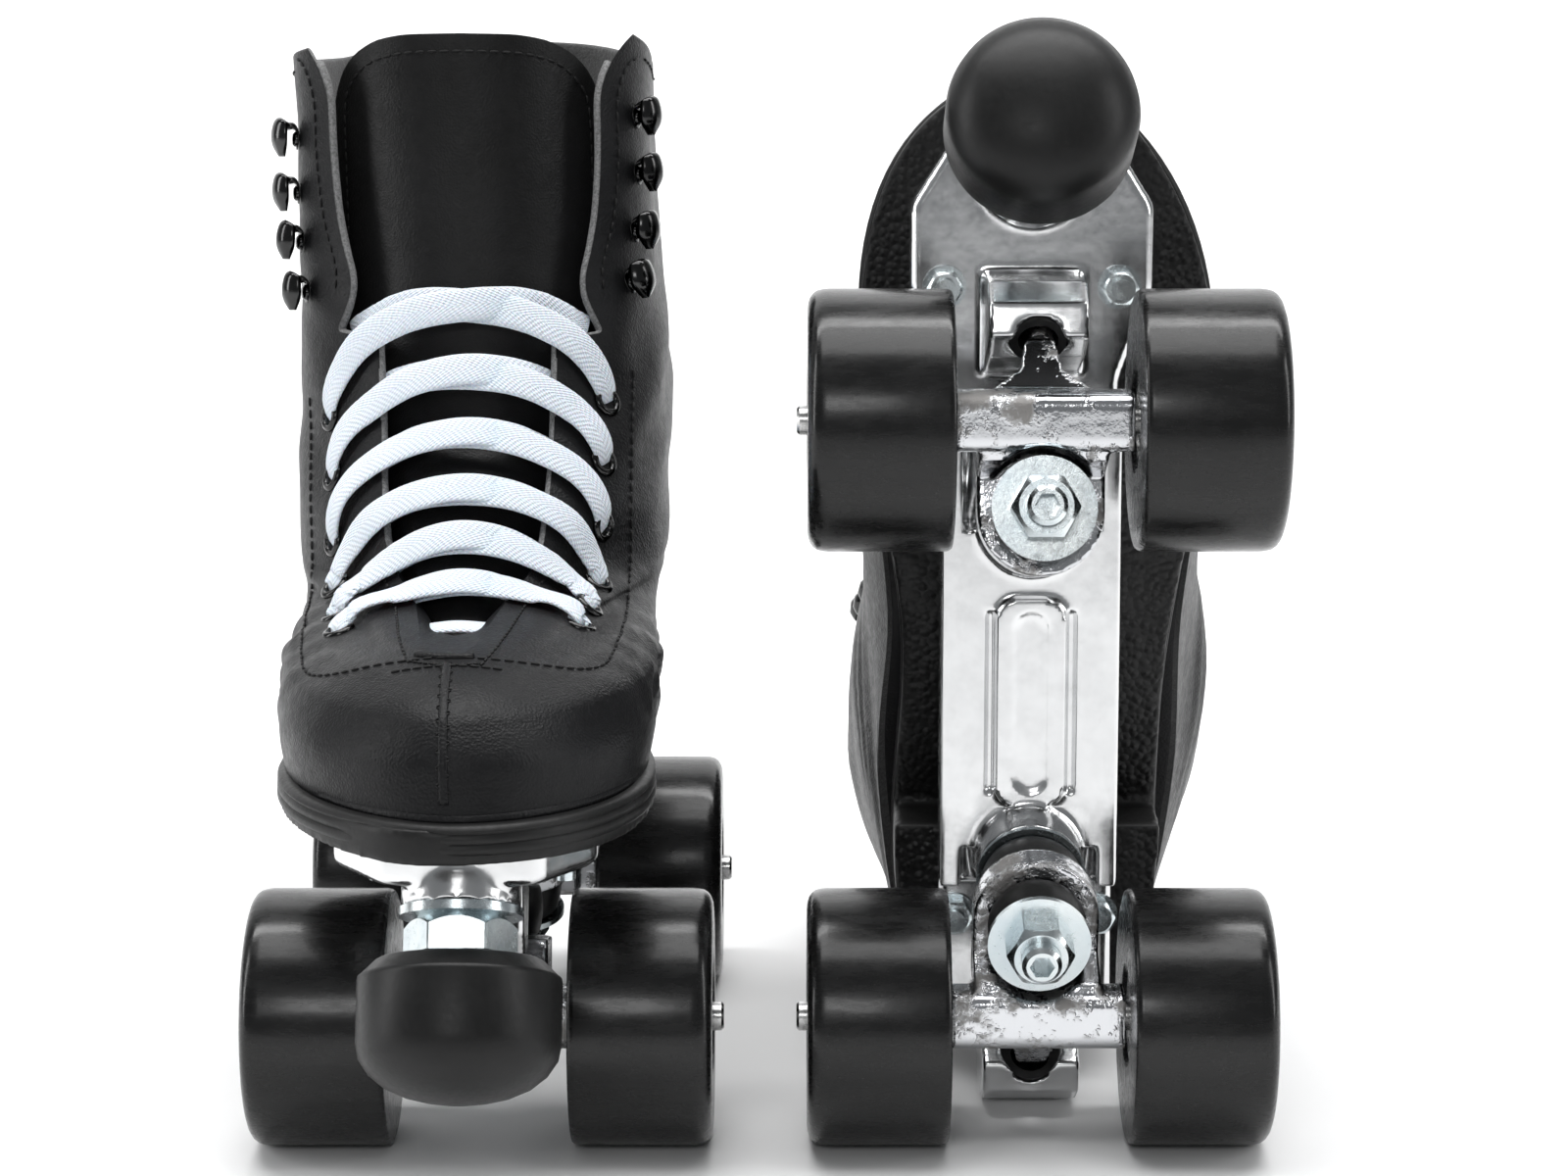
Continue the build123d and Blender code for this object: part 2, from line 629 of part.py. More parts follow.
def make_axle_nuts():
    """Axle nut with its speed washer at each end of the axle."""
    out = Plane(origin=(SEAT_OUT + SPACER_T, -HALF_BASE, WHEEL_R), z_dir=(1, 0, 0))
    nut = hex_nut(out, 11.0, AXLE_NUT_T, AXLE_R + 0.04)
    with BuildPart() as washer:
        with BuildSketch(out.offset(-SPACER_T)):
            Circle(5.3)
            Circle(AXLE_R + 0.04, mode=Mode.SUBTRACT)
        extrude(amount=SPACER_T)
    return Compound(children=[nut, washer.part, mirror(nut, about=Plane.YZ), mirror(washer.part, about=Plane.YZ)])


def make_wheel(side):
    """Urethane wheel turning about X, at the front axle, on the side given by its sign."""
    half, lip_out, lip_in = WHEEL_W / 2, 5.0, 1.6
    with BuildPart() as wheel:
        with BuildSketch(Plane.XY):
            with BuildLine():
                Polyline(
                    (-half, 11.6), (-half, WHEEL_R), (half, WHEEL_R), (half, 14.0), (9.0, 13.0),
                    (9.0, BEARING_R + 0.02), (2.0, BEARING_R + 0.02), (2.0, 9.0), (-9.0, 9.0),
                    (-9.0, BEARING_R + 0.02), (-16.0, BEARING_R + 0.02), (-16.0, 11.6), close=True)
            make_face()
            rim = vertices().group_by(Axis.Y)[-1].sort_by(Axis.X)
            fillet(rim[0], lip_in)
            rim = vertices().filter_by(lambda v: v.X > half - 0.1 and v.Y > WHEEL_R - 0.1)
            fillet(rim, lip_out)
        revolve(axis=Axis.X)
    whole = wheel.part if side > 0 else mirror(wheel.part, about=Plane.YZ)
    return whole.moved(Location((side * WHEEL_X, -HALF_BASE, WHEEL_R)))


def make_bearing(centre):
    """Ball bearing about X: two rings, seven balls between them and two shields."""
    pitch, ball = 7.3, 1.5
    with BuildPart() as outer:
        with BuildSketch(Plane.YZ.offset(-BEARING_W / 2)):
            Circle(BEARING_R)
            Circle(9.2, mode=Mode.SUBTRACT)
        extrude(amount=BEARING_W)
    with BuildPart() as inner:
        with BuildSketch(Plane.YZ.offset(-BEARING_W / 2)):
            Circle(5.4)
            Circle(AXLE_R + 0.02, mode=Mode.SUBTRACT)
        extrude(amount=BEARING_W)
    pieces = [outer.part, inner.part]
    with BuildPart() as shield:
        with BuildSketch(Plane.YZ.offset(BEARING_W / 2 - 0.8)):
            Circle(9.15)
            Circle(5.5, mode=Mode.SUBTRACT)
        extrude(amount=0.4)
    pieces += [shield.part, mirror(shield.part, about=Plane.YZ)]
    with BuildPart() as balls:
        with Locations(Plane.YZ):
            with PolarLocations(pitch, 7):
                Sphere(ball)
    pieces.append(balls.part)
    return Compound(children=pieces).moved(Location(centre))


def make_bearings():
    inner = SEAT_IN + BEARING_W / 2
    outer = SEAT_OUT - BEARING_W / 2
    return Compound(children=[make_bearing((x, -HALF_BASE, WHEEL_R)) for x in (inner, outer, -inner, -outer)])


# ---- toe stop -----------------------------------------------------------------------------------------------
PAD_R = 23.0
PAD_T = 15.5
PAD_SHOULDER = 19.5
DOME_T = 13.0
JAM_NUT_FOOT = 20.5
JAM_NUT_T = 8.5


def make_toe_stop_pad():
    """Rubber stop: domed face, straight side and a bevelled shoulder, revolved about the stem."""
    edge = 4.0
    with BuildPart() as pad:
        with BuildSketch(Plane.YZ):
            with BuildLine():
                Polyline((0, -DOME_T), (0, PAD_SHOULDER), (PAD_R - 4.5, PAD_SHOULDER), (PAD_R, PAD_T))
                Line((PAD_R, PAD_T), (PAD_R, 0))
                Spline((PAD_R, 0), (PAD_R - edge, -6.0), (0, -DOME_T), tangents=((0, -1), (-1, 0)))
            make_face()
        revolve(axis=Axis.Z)
    placed = pad.part.moved(Location(TOE_STOP))
    with BuildPart() as bored:
        add(placed)
        add(round_bar(TOE_STOP, STEM_R + 0.01, 6, 30), mode=Mode.SUBTRACT)
    return bored.part


def make_toe_stop_stem():
    with BuildPart() as stem:
        add(round_bar(TOE_STOP, STEM_R, 6, 39.5))
        chamfer(edges().filter_by(GeomType.CIRCLE).sort_by(Axis.Z)[-1], 1.2)
    return stem.part


def make_toe_stop_nut():
    nut = hex_nut(TOE_STOP.offset(JAM_NUT_FOOT), 22.5, JAM_NUT_T, STEM_R + 0.05)
    with BuildPart() as washer:
        with BuildSketch(TOE_STOP.offset(JAM_NUT_FOOT + JAM_NUT_T)):
            Circle(14.0)
            Circle(STEM_R + 0.05, mode=Mode.SUBTRACT)
        extrude(amount=2.0)
    return Compound(children=[nut, washer.part])


# ---- every piece, twice -------------------------------------------------------------------------------------
for name, make in {
    "upper": make_upper, "tongue": make_tongue, "outsole": make_outsole, "insole": make_insole,
    "eyelets": make_eyelets, "lace_hooks": make_hooks, "lace": make_lace,
    "plate": make_plate, "mounting_screws": make_mounting_screws, "mounting_nuts": make_mounting_nuts,
    "pivot_cups": make_pivot_cups, "kingpins": make_kingpins, "kingpin_nuts": make_kingpin_nuts,
    "cushion_washers": make_cushion_washers, "cushions": make_cushions,
    "toe_stop_pad": make_toe_stop_pad, "toe_stop_stem": make_toe_stop_stem, "toe_stop_nut": make_toe_stop_nut,
}.items():
    both(make(), name)

for name, make in {"truck": make_hanger, "axle": make_axle, "axle_nuts": make_axle_nuts,
                   "bearings": make_bearings}.items():
    piece = make()
    both(piece, f"front_{name}")
    both(mirror(piece, about=Plane.XZ), f"rear_{name}")

for side, name in ((1, "inner"), (-1, "outer")):
    wheel = make_wheel(side)
    both(wheel, f"front_{name}_wheel")
    both(mirror(wheel, about=Plane.XZ), f"rear_{name}_wheel")
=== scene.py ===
import math

import bmesh
import bpy
import numpy as np
from mathutils import Matrix, Vector, noise
from mathutils.bvhtree import BVHTree


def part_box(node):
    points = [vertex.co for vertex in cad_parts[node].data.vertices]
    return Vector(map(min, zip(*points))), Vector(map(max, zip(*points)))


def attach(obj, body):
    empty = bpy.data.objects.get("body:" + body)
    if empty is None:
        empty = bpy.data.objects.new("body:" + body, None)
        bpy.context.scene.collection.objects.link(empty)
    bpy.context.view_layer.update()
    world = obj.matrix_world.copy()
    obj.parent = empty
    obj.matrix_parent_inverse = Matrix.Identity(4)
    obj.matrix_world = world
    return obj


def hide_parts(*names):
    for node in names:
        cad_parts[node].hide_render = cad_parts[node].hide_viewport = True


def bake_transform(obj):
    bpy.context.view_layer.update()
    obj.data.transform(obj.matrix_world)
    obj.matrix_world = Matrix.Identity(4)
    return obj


# Looks for the pair of quad skates. New pieces are made once in the right skate's own frame, in millimetres
# (toe towards -Y, wheels on Z = 0, Y = 0 midway between the axles), and placed on both skates.

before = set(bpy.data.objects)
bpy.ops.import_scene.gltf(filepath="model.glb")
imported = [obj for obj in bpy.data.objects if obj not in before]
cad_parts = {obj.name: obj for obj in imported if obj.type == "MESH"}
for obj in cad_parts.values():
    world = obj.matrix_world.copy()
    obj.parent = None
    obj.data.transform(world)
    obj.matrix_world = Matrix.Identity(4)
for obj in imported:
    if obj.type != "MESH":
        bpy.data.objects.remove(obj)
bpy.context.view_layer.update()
MM = 0.001
HALF_BASE = 72.5     # half of the wheelbase
WHEEL_R = 31.0
WHEEL_X = 38.5       # middle of a wheel from the centre line
PLATE_TOP = 88.0


def middle_of(node):
    low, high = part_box(node)
    return (low + high) / 2


def skate_places():
    """Matrices from a skate's own frame in millimetres to the row frame, from where the front axles are."""
    right = middle_of("right_front_axle")
    left = middle_of("left_front_axle")
    ry = right.y + HALF_BASE * MM
    ly, lz = left.y - WHEEL_R * MM, left.z - HALF_BASE * MM
    return {
        "right": Matrix(((MM, 0, 0, right.x), (0, MM, 0, ry), (0, 0, MM, 0), (0, 0, 0, 1))),
        "left": Matrix(((-MM, 0, 0, left.x), (0, 0, MM, ly), (0, -MM, 0, lz), (0, 0, 0, 1))),
    }


PLACES = skate_places()
SIDES = tuple(PLACES)


# ---- materials -------------------------------------------------------------------------
class Nodes:
    """A Principled material under construction."""

    def __init__(self, name, **values):
        self.material = bpy.data.materials.new(name)
        self.material.use_nodes = True
        self.tree = self.material.node_tree
        self.shader = self.tree.nodes["Principled BSDF"]
        for socket, value in values.items():
            self.shader.inputs[socket.replace("_", " ")].default_value = value
        self.place = self.add("ShaderNodeTexCoord").outputs["Object"]

    def add(self, kind, **inputs):
        node = self.tree.nodes.new(kind)
        for name, value in inputs.items():
            self.feed(node.inputs[name.replace("_", " ")], value)
        return node

    def feed(self, socket, value):
        if isinstance(value, bpy.types.NodeSocket):
            self.tree.links.new(value, socket)
        else:
            socket.default_value = value

    def noise(self, scale, detail=3.0, roughness=0.55, vector=None):
        node = self.add("ShaderNodeTexNoise", Scale=scale, Detail=detail, Roughness=roughness)
        self.feed(node.inputs["Vector"], vector or self.place)
        return node.outputs["Fac"]

    def cells(self, scale, smooth):
        node = self.add("ShaderNodeTexVoronoi", Vector=self.place, Scale=scale)
        node.feature = "SMOOTH_F1"
        node.inputs["Smoothness"].default_value = smooth
        return node.outputs["Distance"]

    def stretched(self, x, y, z):
        node = self.add("ShaderNodeMapping", Vector=self.place, Scale=(x, y, z))
        return node.outputs["Vector"]

    def level(self, value, low, high, to_low, to_high):
        node = self.add("ShaderNodeMapRange")
        for i, v in enumerate((value, low, high, to_low, to_high)):
            self.feed(node.inputs[i], v)
        return node.outputs[0]

    def maths(self, operation, a, b=0.0):
        node = self.tree.nodes.new("ShaderNodeMath")
        node.operation = operation
        self.feed(node.inputs[0], a)
        self.feed(node.inputs[1], b)
        return node.outputs[0]

    def blend(self, factor, a, b):
        node = self.tree.nodes.new("ShaderNodeMix")
        node.data_type = "RGBA"
        self.feed(node.inputs["Factor"], factor)
        for socket in (s for s in node.inputs if s.type == "RGBA"):
            self.feed(socket, a if socket.name == "A" else b)
        return next(s for s in node.outputs if s.type == "RGBA")

    def mottled(self, pattern, a, b, low=0.35, high=0.7):
        """Base colour that goes from a to b as the pattern rises from low to high."""
        self.colour(self.blend(self.level(pattern, low, high, 0.0, 1.0), a, b))

    def bump(self, *layers):
        """Stacks (height, depth in millimetres) layers of relief."""
        normal = None
        for height, depth in layers:
            node = self.add("ShaderNodeBump", Height=height, Distance=depth * MM, Strength=1.0)
            if normal:
                self.feed(node.inputs["Normal"], normal)
            normal = node.outputs["Normal"]
        self.feed(self.shader.inputs["Normal"], normal)

    def colour(self, value):
        self.feed(self.shader.inputs["Base Color"], value)

    def rough(self, value):
        self.feed(self.shader.inputs["Roughness"], value)


def grey(v):
    return (v, v, v, 1.0)


def leather_material(name, dark, light, rough_low, rough_high, grain=1500.0, depth=0.10):
    m = Nodes(name, Specular_IOR_Level=0.17)
    broad = m.noise(22.0, 4.0)
    m.mottled(broad, dark, light)
    fine = m.noise(420.0, 4.0, 0.6)
    m.rough(m.level(fine, 0.3, 0.7, rough_low, rough_high))
    pores = m.cells(grain, 0.35)
    creases = m.noise(150.0, 6.0, 0.7, m.stretched(1.0, 1.0, 1.6))
    m.bump((pores, depth), (creases, depth * 1.8), (broad, 0.9))
    return m.material


def lining_material():
    m = Nodes("lining", Specular_IOR_Level=0.2, Sheen_Weight=0.35, Sheen_Roughness=0.6)
    fibre = m.noise(1300.0, 5.0, 0.75)
    m.mottled(fibre, grey(0.016), grey(0.05))
    m.rough(m.level(fibre, 0.3, 0.7, 0.8, 0.95))
    m.bump((fibre, 0.35), (m.noise(200.0), 0.5))
    return m.material


def raw_edge_material():
    """Cut edge of the upper: grey felted fibre between leather and lining."""
    m = Nodes("raw_edge", Specular_IOR_Level=0.2)
    fibre = m.noise(1500.0, 5.0, 0.8)
    m.mottled(fibre, grey(0.10), grey(0.34), high=0.65)
    m.rough(0.92)
    m.bump((fibre, 0.45))
    return m.material


def rubber_material(name, base, light, rough_low, rough_high, fine_depth=0.05, pebble=0.0):
    m = Nodes(name, Specular_IOR_Level=0.26)
    broad = m.noise(60.0, 4.0)
    m.mottled(broad, base, light)
    fine = m.noise(700.0, 4.0, 0.65)
    m.rough(m.level(fine, 0.3, 0.7, rough_low, rough_high))
    layers = [(fine, fine_depth), (broad, fine_depth * 2)]
    if pebble:
        grains = m.cells(520.0, 0.25)
        layers.append((m.level(grains, 0.0, 0.75, 1.0, 0.0), pebble))
    m.bump(*layers)
    return m.material


def wheel_material():
    m = Nodes("wheel_urethane", Specular_IOR_Level=0.3, Coat_Weight=0.12, Coat_Roughness=0.12)
    broad = m.noise(45.0, 4.0)
    m.mottled(broad, grey(0.004), grey(0.008))
    scuffs = m.noise(90.0, 6.0, 0.75, m.stretched(1.0, 4.0, 4.0))
    m.rough(m.level(scuffs, 0.35, 0.7, 0.2, 0.36))
    m.bump((scuffs, 0.03), (broad, 0.12))
    return m.material


def metal_material(name, tint_low, tint_high, rough_low, rough_high, ripple=0.05, fine=0.01, scale=60.0,
                   brush=(1.0, 1.0, 1.0)):
    m = Nodes(name, Metallic=1.0)
    broad = m.noise(scale, 4.0)
    m.mottled(broad, tint_low, tint_high)
    wear = m.noise(scale * 7, 6.0, 0.7, m.stretched(*brush))
    m.rough(m.level(wear, 0.32, 0.7, rough_low, rough_high))
    m.bump((wear, fine), (broad, ripple))
    return m.material


def cast_material():
    """Truck: polished round its edges with the grey skin of the casting left where the wheel can't reach."""
    m = Nodes("truck_cast", Metallic=1.0)
    patches = m.noise(75.0, 5.0, 0.7)
    skin = m.noise(900.0, 5.0, 0.75)
    rough_skin = m.level(patches, 0.5, 0.6, 0.0, 1.0)
    m.colour(m.blend(rough_skin, (0.62, 0.63, 0.65, 1), (0.33, 0.32, 0.31, 1)))
    m.rough(m.level(rough_skin, 0.0, 1.0, 0.14, 0.42))
    m.bump((m.maths("MULTIPLY", skin, rough_skin), 0.35), (patches, 0.25))
    return m.material


def lace_material():
    """Flat tubular braid: a chevron of plaited yarns each side of the middle, from the band's own UV, with
    painted shade in the grooves between the yarns.
    """
    m = Nodes("lace_weave", Specular_IOR_Level=0.25, Sheen_Weight=0.3, Sheen_Roughness=0.5,
              Subsurface_Weight=0.12, Subsurface_Scale=0.002)
    uv = m.add("ShaderNodeUVMap")
    parts = m.add("ShaderNodeSeparateXYZ", Vector=uv.outputs[0])
    across = m.maths("ABSOLUTE", m.maths("SUBTRACT", parts.outputs["X"], 0.5))
    along = parts.outputs["Y"]
    # one stitch is 1.5 mm long and 1.05 mm wide
    lean = m.maths("MULTIPLY", across, 5.2)
    row = m.maths("MULTIPLY", m.maths("ADD", along, lean), 2 * math.pi / 1.5)
    column = m.maths("MULTIPLY", across, 2 * math.pi * 7.6)
    knit = m.maths("MULTIPLY", m.maths("SINE", row), m.maths("COSINE", column))
    yarn = m.noise(2600.0, 3.0, 0.7)
    # painted shade: the colour runs from bluish grey in the knit's low grooves to white on the raised yarns,
    # following the bump's own pattern
    painted_groove_shade = m.level(knit, -1.0, 1.0, 0.0, 1.0)
    m.colour(m.blend(painted_groove_shade, (0.66, 0.73, 0.83, 1), (0.86, 0.91, 0.97, 1)))
    m.rough(m.level(yarn, 0.3, 0.7, 0.75, 0.95))
    m.bump((yarn, 0.08), (knit, 0.16))
    return m.material


LEATHER = leather_material("leather", (0.005, 0.005, 0.0055, 1), (0.0105, 0.0107, 0.0115, 1), 0.34, 0.47)
TONGUE_LEATHER = leather_material("tongue_leather", (0.0055, 0.0055, 0.0055, 1), (0.0115, 0.0115, 0.012, 1),
                                  0.36, 0.5, 1700.0, 0.08)
LINING = lining_material()
RAW_EDGE = raw_edge_material()
THREAD = rubber_material("thread", grey(0.004), grey(0.008), 0.5, 0.65, 0.08)
SOLE = rubber_material("sole_rubber", grey(0.006), grey(0.011), 0.38, 0.52)
SOLE_PEBBLE = rubber_material("sole_pebbled", grey(0.006), grey(0.012), 0.36, 0.5, 0.05, 0.5)
STOP = rubber_material("stop_rubber", grey(0.005), grey(0.009), 0.36, 0.46, 0.03)
CUSHION = rubber_material("cushion_rubber", grey(0.009), grey(0.02), 0.3, 0.45, 0.06)
WHEEL = wheel_material()
LACE = lace_material()
BLACK_METAL = metal_material("black_nickel", grey(0.035), grey(0.06), 0.10, 0.22, 0.02)
PLATE = metal_material("polished_aluminium", (0.66, 0.665, 0.67, 1), (0.78, 0.785, 0.79, 1), 0.13, 0.26,
                       0.35, 0.012, 28.0, (1.0, 0.25, 1.0))
TRUCK = cast_material()
ZINC = metal_material("zinc_plate", (0.58, 0.65, 0.68, 1), (0.74, 0.78, 0.78, 1), 0.16, 0.32, 0.05, 0.02)
STEEL = metal_material("steel", (0.5, 0.5, 0.5, 1), (0.62, 0.62, 0.61, 1), 0.18, 0.34, 0.03, 0.02)


# ---- making and placing meshes ---------------------------------------------------------
def mesh_of(name, verts, faces, materials, indices=None, uvs=None):
    mesh = bpy.data.meshes.new(name)
    mesh.from_pydata([tuple(v) for v in verts], [], faces)
    for m in materials:
        mesh.materials.append(m)
    if indices is not None:
        mesh.polygons.foreach_set("material_index", indices)
    if uvs is not None:
        layer = mesh.uv_layers.new(name="UVMap")
        for loop in mesh.loops:
            layer.data[loop.index].uv = uvs[loop.vertex_index]
    mesh.validate()
    soften(mesh)
    return mesh


def soften(mesh, sharp=None):
    """Smooth shading, but for edges of more than sharp degrees."""
    mesh.polygons.foreach_set("use_smooth", [True] * len(mesh.polygons))
    if sharp:
        mesh.set_sharp_from_angle(angle=math.radians(sharp))


def faced_out(mesh, merge=0.0):
    """The mesh with its faces turned outward, after points within merge of each other are joined."""
    work = bmesh.new()
    work.from_mesh(mesh)
    if merge:
        bmesh.ops.remove_doubles(work, verts=work.verts, dist=merge)
    bmesh.ops.recalc_face_normals(work, faces=work.faces)
    work.to_mesh(mesh)
    work.free()
    return mesh


def put(name, mesh, body="skate", replaces=(), bend=None):
    """Places a copy of a local mesh on each skate. It rides on that skate's body, or, when bend is given, stays
    fixed in the row frame on no body; the other body and the two local points that bend holds are not used."""
    for side in SIDES:
        copy = mesh.copy()
        copy.transform(PLACES[side])
        if side == "left":
            copy.flip_normals()
        piece = bpy.data.objects.new(f"{side}_{name}_look", copy)
        copy.name = piece.name
        bpy.context.scene.collection.objects.link(piece)
        if bend:
            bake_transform(piece)
        else:
            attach(piece, f"{side}_{body}")
        if replaces:
            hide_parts(*(f"{side}_{node}" for node in replaces))


def worked(mesh, *steps):
    """The mesh after the modifiers, each (type, {setting: value})."""
    holder = bpy.data.objects.new("work", mesh)
    bpy.context.scene.collection.objects.link(holder)
    for kind, settings in steps:
        modifier = holder.modifiers.new(kind, kind)
        for key, value in settings.items():
            setattr(modifier, key, value)
    bpy.context.view_layer.update()
    graph = bpy.context.evaluated_depsgraph_get()
    made = bpy.data.meshes.new_from_object(holder.evaluated_get(graph))
    bpy.data.objects.remove(holder)
    return made


def grid_faces(rows, columns, closed=True, looped=False, flip=False):
    """Quads over rows of points: closed joins a row's ends, looped joins the last row to the first."""
    faces = []
    for r in range(rows if looped else rows - 1):
        low, high = r * columns, (r + 1) % rows * columns
        for c in range(columns if closed else columns - 1):
            d = (c + 1) % columns
            quad = (low + c, low + d, high + d, high + c)
            faces.append(quad[::-1] if flip else quad)
    return faces


def tube_faces(rows, sides, flip=False):
    """Faces of a tube of that many rings, with both its ends filled."""
    ends = [tuple(range(sides))[::-1], tuple(range((rows - 1) * sides, rows * sides))]
    return grid_faces(rows, sides, flip=flip) + [end[::-1] if flip else end for end in ends]


def join(meshes):
    """One mesh from several of the same material list."""
    whole = bmesh.new()
    for m in meshes:
        whole.from_mesh(m)
    mesh = bpy.data.meshes.new("joined")
    whole.to_mesh(mesh)
    whole.free()
    for m in meshes[0].materials:
        mesh.materials.append(m)
    return mesh


def revolved(profile, origin, axis, material, segments=72, sharp=38, closed=True):
    """Profile of (along the axis, radius) turned about the axis through origin."""
    axis = Vector(axis).normalized()
    side = axis.orthogonal().normalized()
    other = axis.cross(side)
    verts = []
    for along, radius in profile:
        for k in range(segments):
            a = 2 * math.pi * k / segments
            verts.append(Vector(origin) + axis * along + (side * math.cos(a) + other * math.sin(a)) * radius)
    faces = grid_faces(len(profile), segments, looped=closed, flip=True)
    mesh = faced_out(mesh_of("turned", verts, faces, [material]), 0.005)
    soften(mesh, sharp)
    return mesh


def rounded(points, radii, steps=5):
    """Open 2-D outline with its inner corners rounded, each by its own radius."""
    out = [Vector(points[0])]
    for i in range(1, len(points) - 1):
        before, here, after = (Vector(points[j]) for j in (i - 1, i, i + 1))
        a, b = (before - here), (after - here)
        cut = min(radii[i], 0.48 * a.length, 0.48 * b.length)
        p, q = here + a.normalized() * cut, here + b.normalized() * cut
        for k in range(steps + 1):
            t = k / steps
            out.append((1 - t) ** 2 * p + 2 * t * (1 - t) * here + t * t * q)
    out.append(Vector(points[-1]))
    return out


# ---- boot surface ----------------------------------------------------------------------
def outline(middle, toe, corner, corner_y, ball, ball_y, waist, waist_y, heel, heel_y, back):
    """Outline from the toe round by one side: (width on that side, on the other), the rest along Y."""
    return [
        (middle, toe), (corner[0], corner_y), (ball[0], ball_y), (waist[0], waist_y), (heel[0], heel_y),
        (0.62 * heel[0], back - 7), (middle, back), (-0.62 * heel[1], back - 7), (-heel[1], heel_y),
        (-waist[1], waist_y), (-ball[1], ball_y), (-corner[1], corner_y),
    ]


# the upper's outline at each height
SECTIONS = {
    PLATE_TOP: (0, -148, (25, 23), -134, (39, 43), -86, (32, 37), -8, (30, 32), 60, 95),
    108.0: (0, -148, (27, 26), -133, (42, 46), -88, (38, 43), -10, (33, 35), 60, 97),
    118.0: (-2, -142, (24, 25), -127, (41, 44.5), -86, (40, 46), -12, (34, 37), 60, 98),
    125.0: (-2, -131, (21, 23), -114, (34, 38), -79, (41, 47.5), -14, (35, 39), 60, 98),
    129.5: (-3, -116, (14, 17), -104, (24, 28), -76, (41, 48.5), -14, (35, 40), 60, 98),
    134.0: (-4, -82, (12, 17), -74, (24, 30), -54, (41.5, 49.5), -10, (35, 41), 60, 97),
    150.0: (-5, -60, (16, 22), -51, (33, 39), -30, (42.5, 51), 0, (36, 43), 60, 95),
    172.0: (-6, -37, (20, 28), -28, (37, 44), -8, (43, 52), 14, (38, 45), 62, 93),
    200.0: (-6, -21, (22, 33), -13, (38, 50), 8, (41.5, 52), 28, (37, 46), 66, 94),
    232.0: (-7, -13, (22, 36), -6, (37.5, 51), 15, (39, 53), 38, (36, 47), 72, 99),
    266.0: (-8, -8, (22, 38), -1, (36, 52), 19, (38, 53.5), 42, (34, 48), 76, 103.2),
}
SOLE_OUTLINE = outline(0, -151, (28, 26), -137, (42, 46), -86, (31, 36), -8, (32, 33), 60, 97)
PER_SPAN = 12


THROAT_FOOT = 129.0


def middle(height):
    """X of the throat's middle line, which leans to the lateral side."""
    return -4.0 - 0.031 * (height - THROAT_FOOT)


def closed_curve(points, per_span=PER_SPAN):
    """Smooth closed curve through the points, per_span samples from each to the next."""
    p = np.asarray(points, float)
    n = len(p)
    h = np.linalg.norm(np.roll(p, -1, 0) - p, axis=1)
    a, r = np.zeros((n, n)), np.zeros((n, 2))
    for i in range(n):
        a[i, i - 1] += h[i - 1]
        a[i, i] += 2 * (h[i - 1] + h[i])
        a[i, (i + 1) % n] += h[i]
        r[i] = 6 * ((p[(i + 1) % n] - p[i]) / h[i] - (p[i] - p[i - 1]) / h[i - 1])
    m = np.linalg.solve(a, r)
    out = []
    for i in range(n):
        j = (i + 1) % n
        for k in range(per_span):
            t = k / per_span
            u = 1 - t
            out.append(u * p[i] + t * p[j] + h[i] ** 2 / 6 * ((u ** 3 - u) * m[i] + (t ** 3 - t) * m[j]))
    return np.array(out)


def steady(xs, ys, x):
    """Monotone cubic through (xs, ys) at x; ys may be rows of values."""
    xs, ys = np.asarray(xs, float), np.asarray(ys, float)
    h = np.diff(xs)
    d = np.diff(ys, axis=0) / h.reshape(-1, *([1] * (ys.ndim - 1)))
    slopes = np.zeros_like(ys)
    slopes[0], slopes[-1] = d[0], d[-1]
    same = d[:-1] * d[1:] > 0
    with np.errstate(divide="ignore", invalid="ignore"):
        mean = 2 * d[:-1] * d[1:] / (d[:-1] + d[1:])
    slopes[1:-1] = np.where(same, mean, 0.0)
    i = int(np.clip(np.searchsorted(xs, x) - 1, 0, len(xs) - 2))
    t = (x - xs[i]) / h[i]
    a, b = 2 * t ** 3 - 3 * t ** 2 + 1, t ** 3 - 2 * t ** 2 + t
    c, e = -2 * t ** 3 + 3 * t ** 2, t ** 3 - t ** 2
    return a * ys[i] + b * h[i] * slopes[i] + c * ys[i + 1] + e * h[i] * slopes[i + 1]


HEIGHTS = sorted(SECTIONS)
TABLE_STEP = 0.25
TABLE_Z = np.arange(HEIGHTS[0], HEIGHTS[-1] + 0.01, TABLE_STEP)
TABLE_XY = np.array([closed_curve(steady(HEIGHTS, [outline(*SECTIONS[h]) for h in HEIGHTS], z))
                     for z in TABLE_Z])
COLUMNS = TABLE_XY.shape[1]
BACK = COLUMNS // 2


def wall(column, z):
    """Point of the upper's outer surface in a column, at a height."""
    f = min(max((z - PLATE_TOP) / TABLE_STEP, 0.0), len(TABLE_Z) - 1.001)
    i, c = int(f), int(column) % COLUMNS
    part = column - int(column)
    a = TABLE_XY[i, c] * (1 - part) + TABLE_XY[i, (c + 1) % COLUMNS] * part
    b = TABLE_XY[i + 1, c] * (1 - part) + TABLE_XY[i + 1, (c + 1) % COLUMNS] * part
    xy = a + (b - a) * (f - i)
    return Vector((xy[0], xy[1], z))


def foot_line(y):
    """Height of the sole's top: level under the forefoot, rising to the heel."""
    t = min(max((y + 20.0) / 56.0, 0.0), 1.0)
    return 96.0 + 16.0 * (3 * t * t - 2 * t ** 3)


def collar(x, y):
    """Height of the collar: high at the front flaps, most at the medial one, and lower round the back."""
    height = float(steady([-30, 0, 18, 45, 75, 90, 104], [262.2, 262.2, 259, 254, 253, 255, 256.5], y))
    front_part = min(max((40.0 - y) / 30.0, 0.0), 1.0)
    return height + 2.4 * front_part * math.copysign(1.0, x + 8.0) * min(abs(x + 8.0) / 20.0, 1.0)


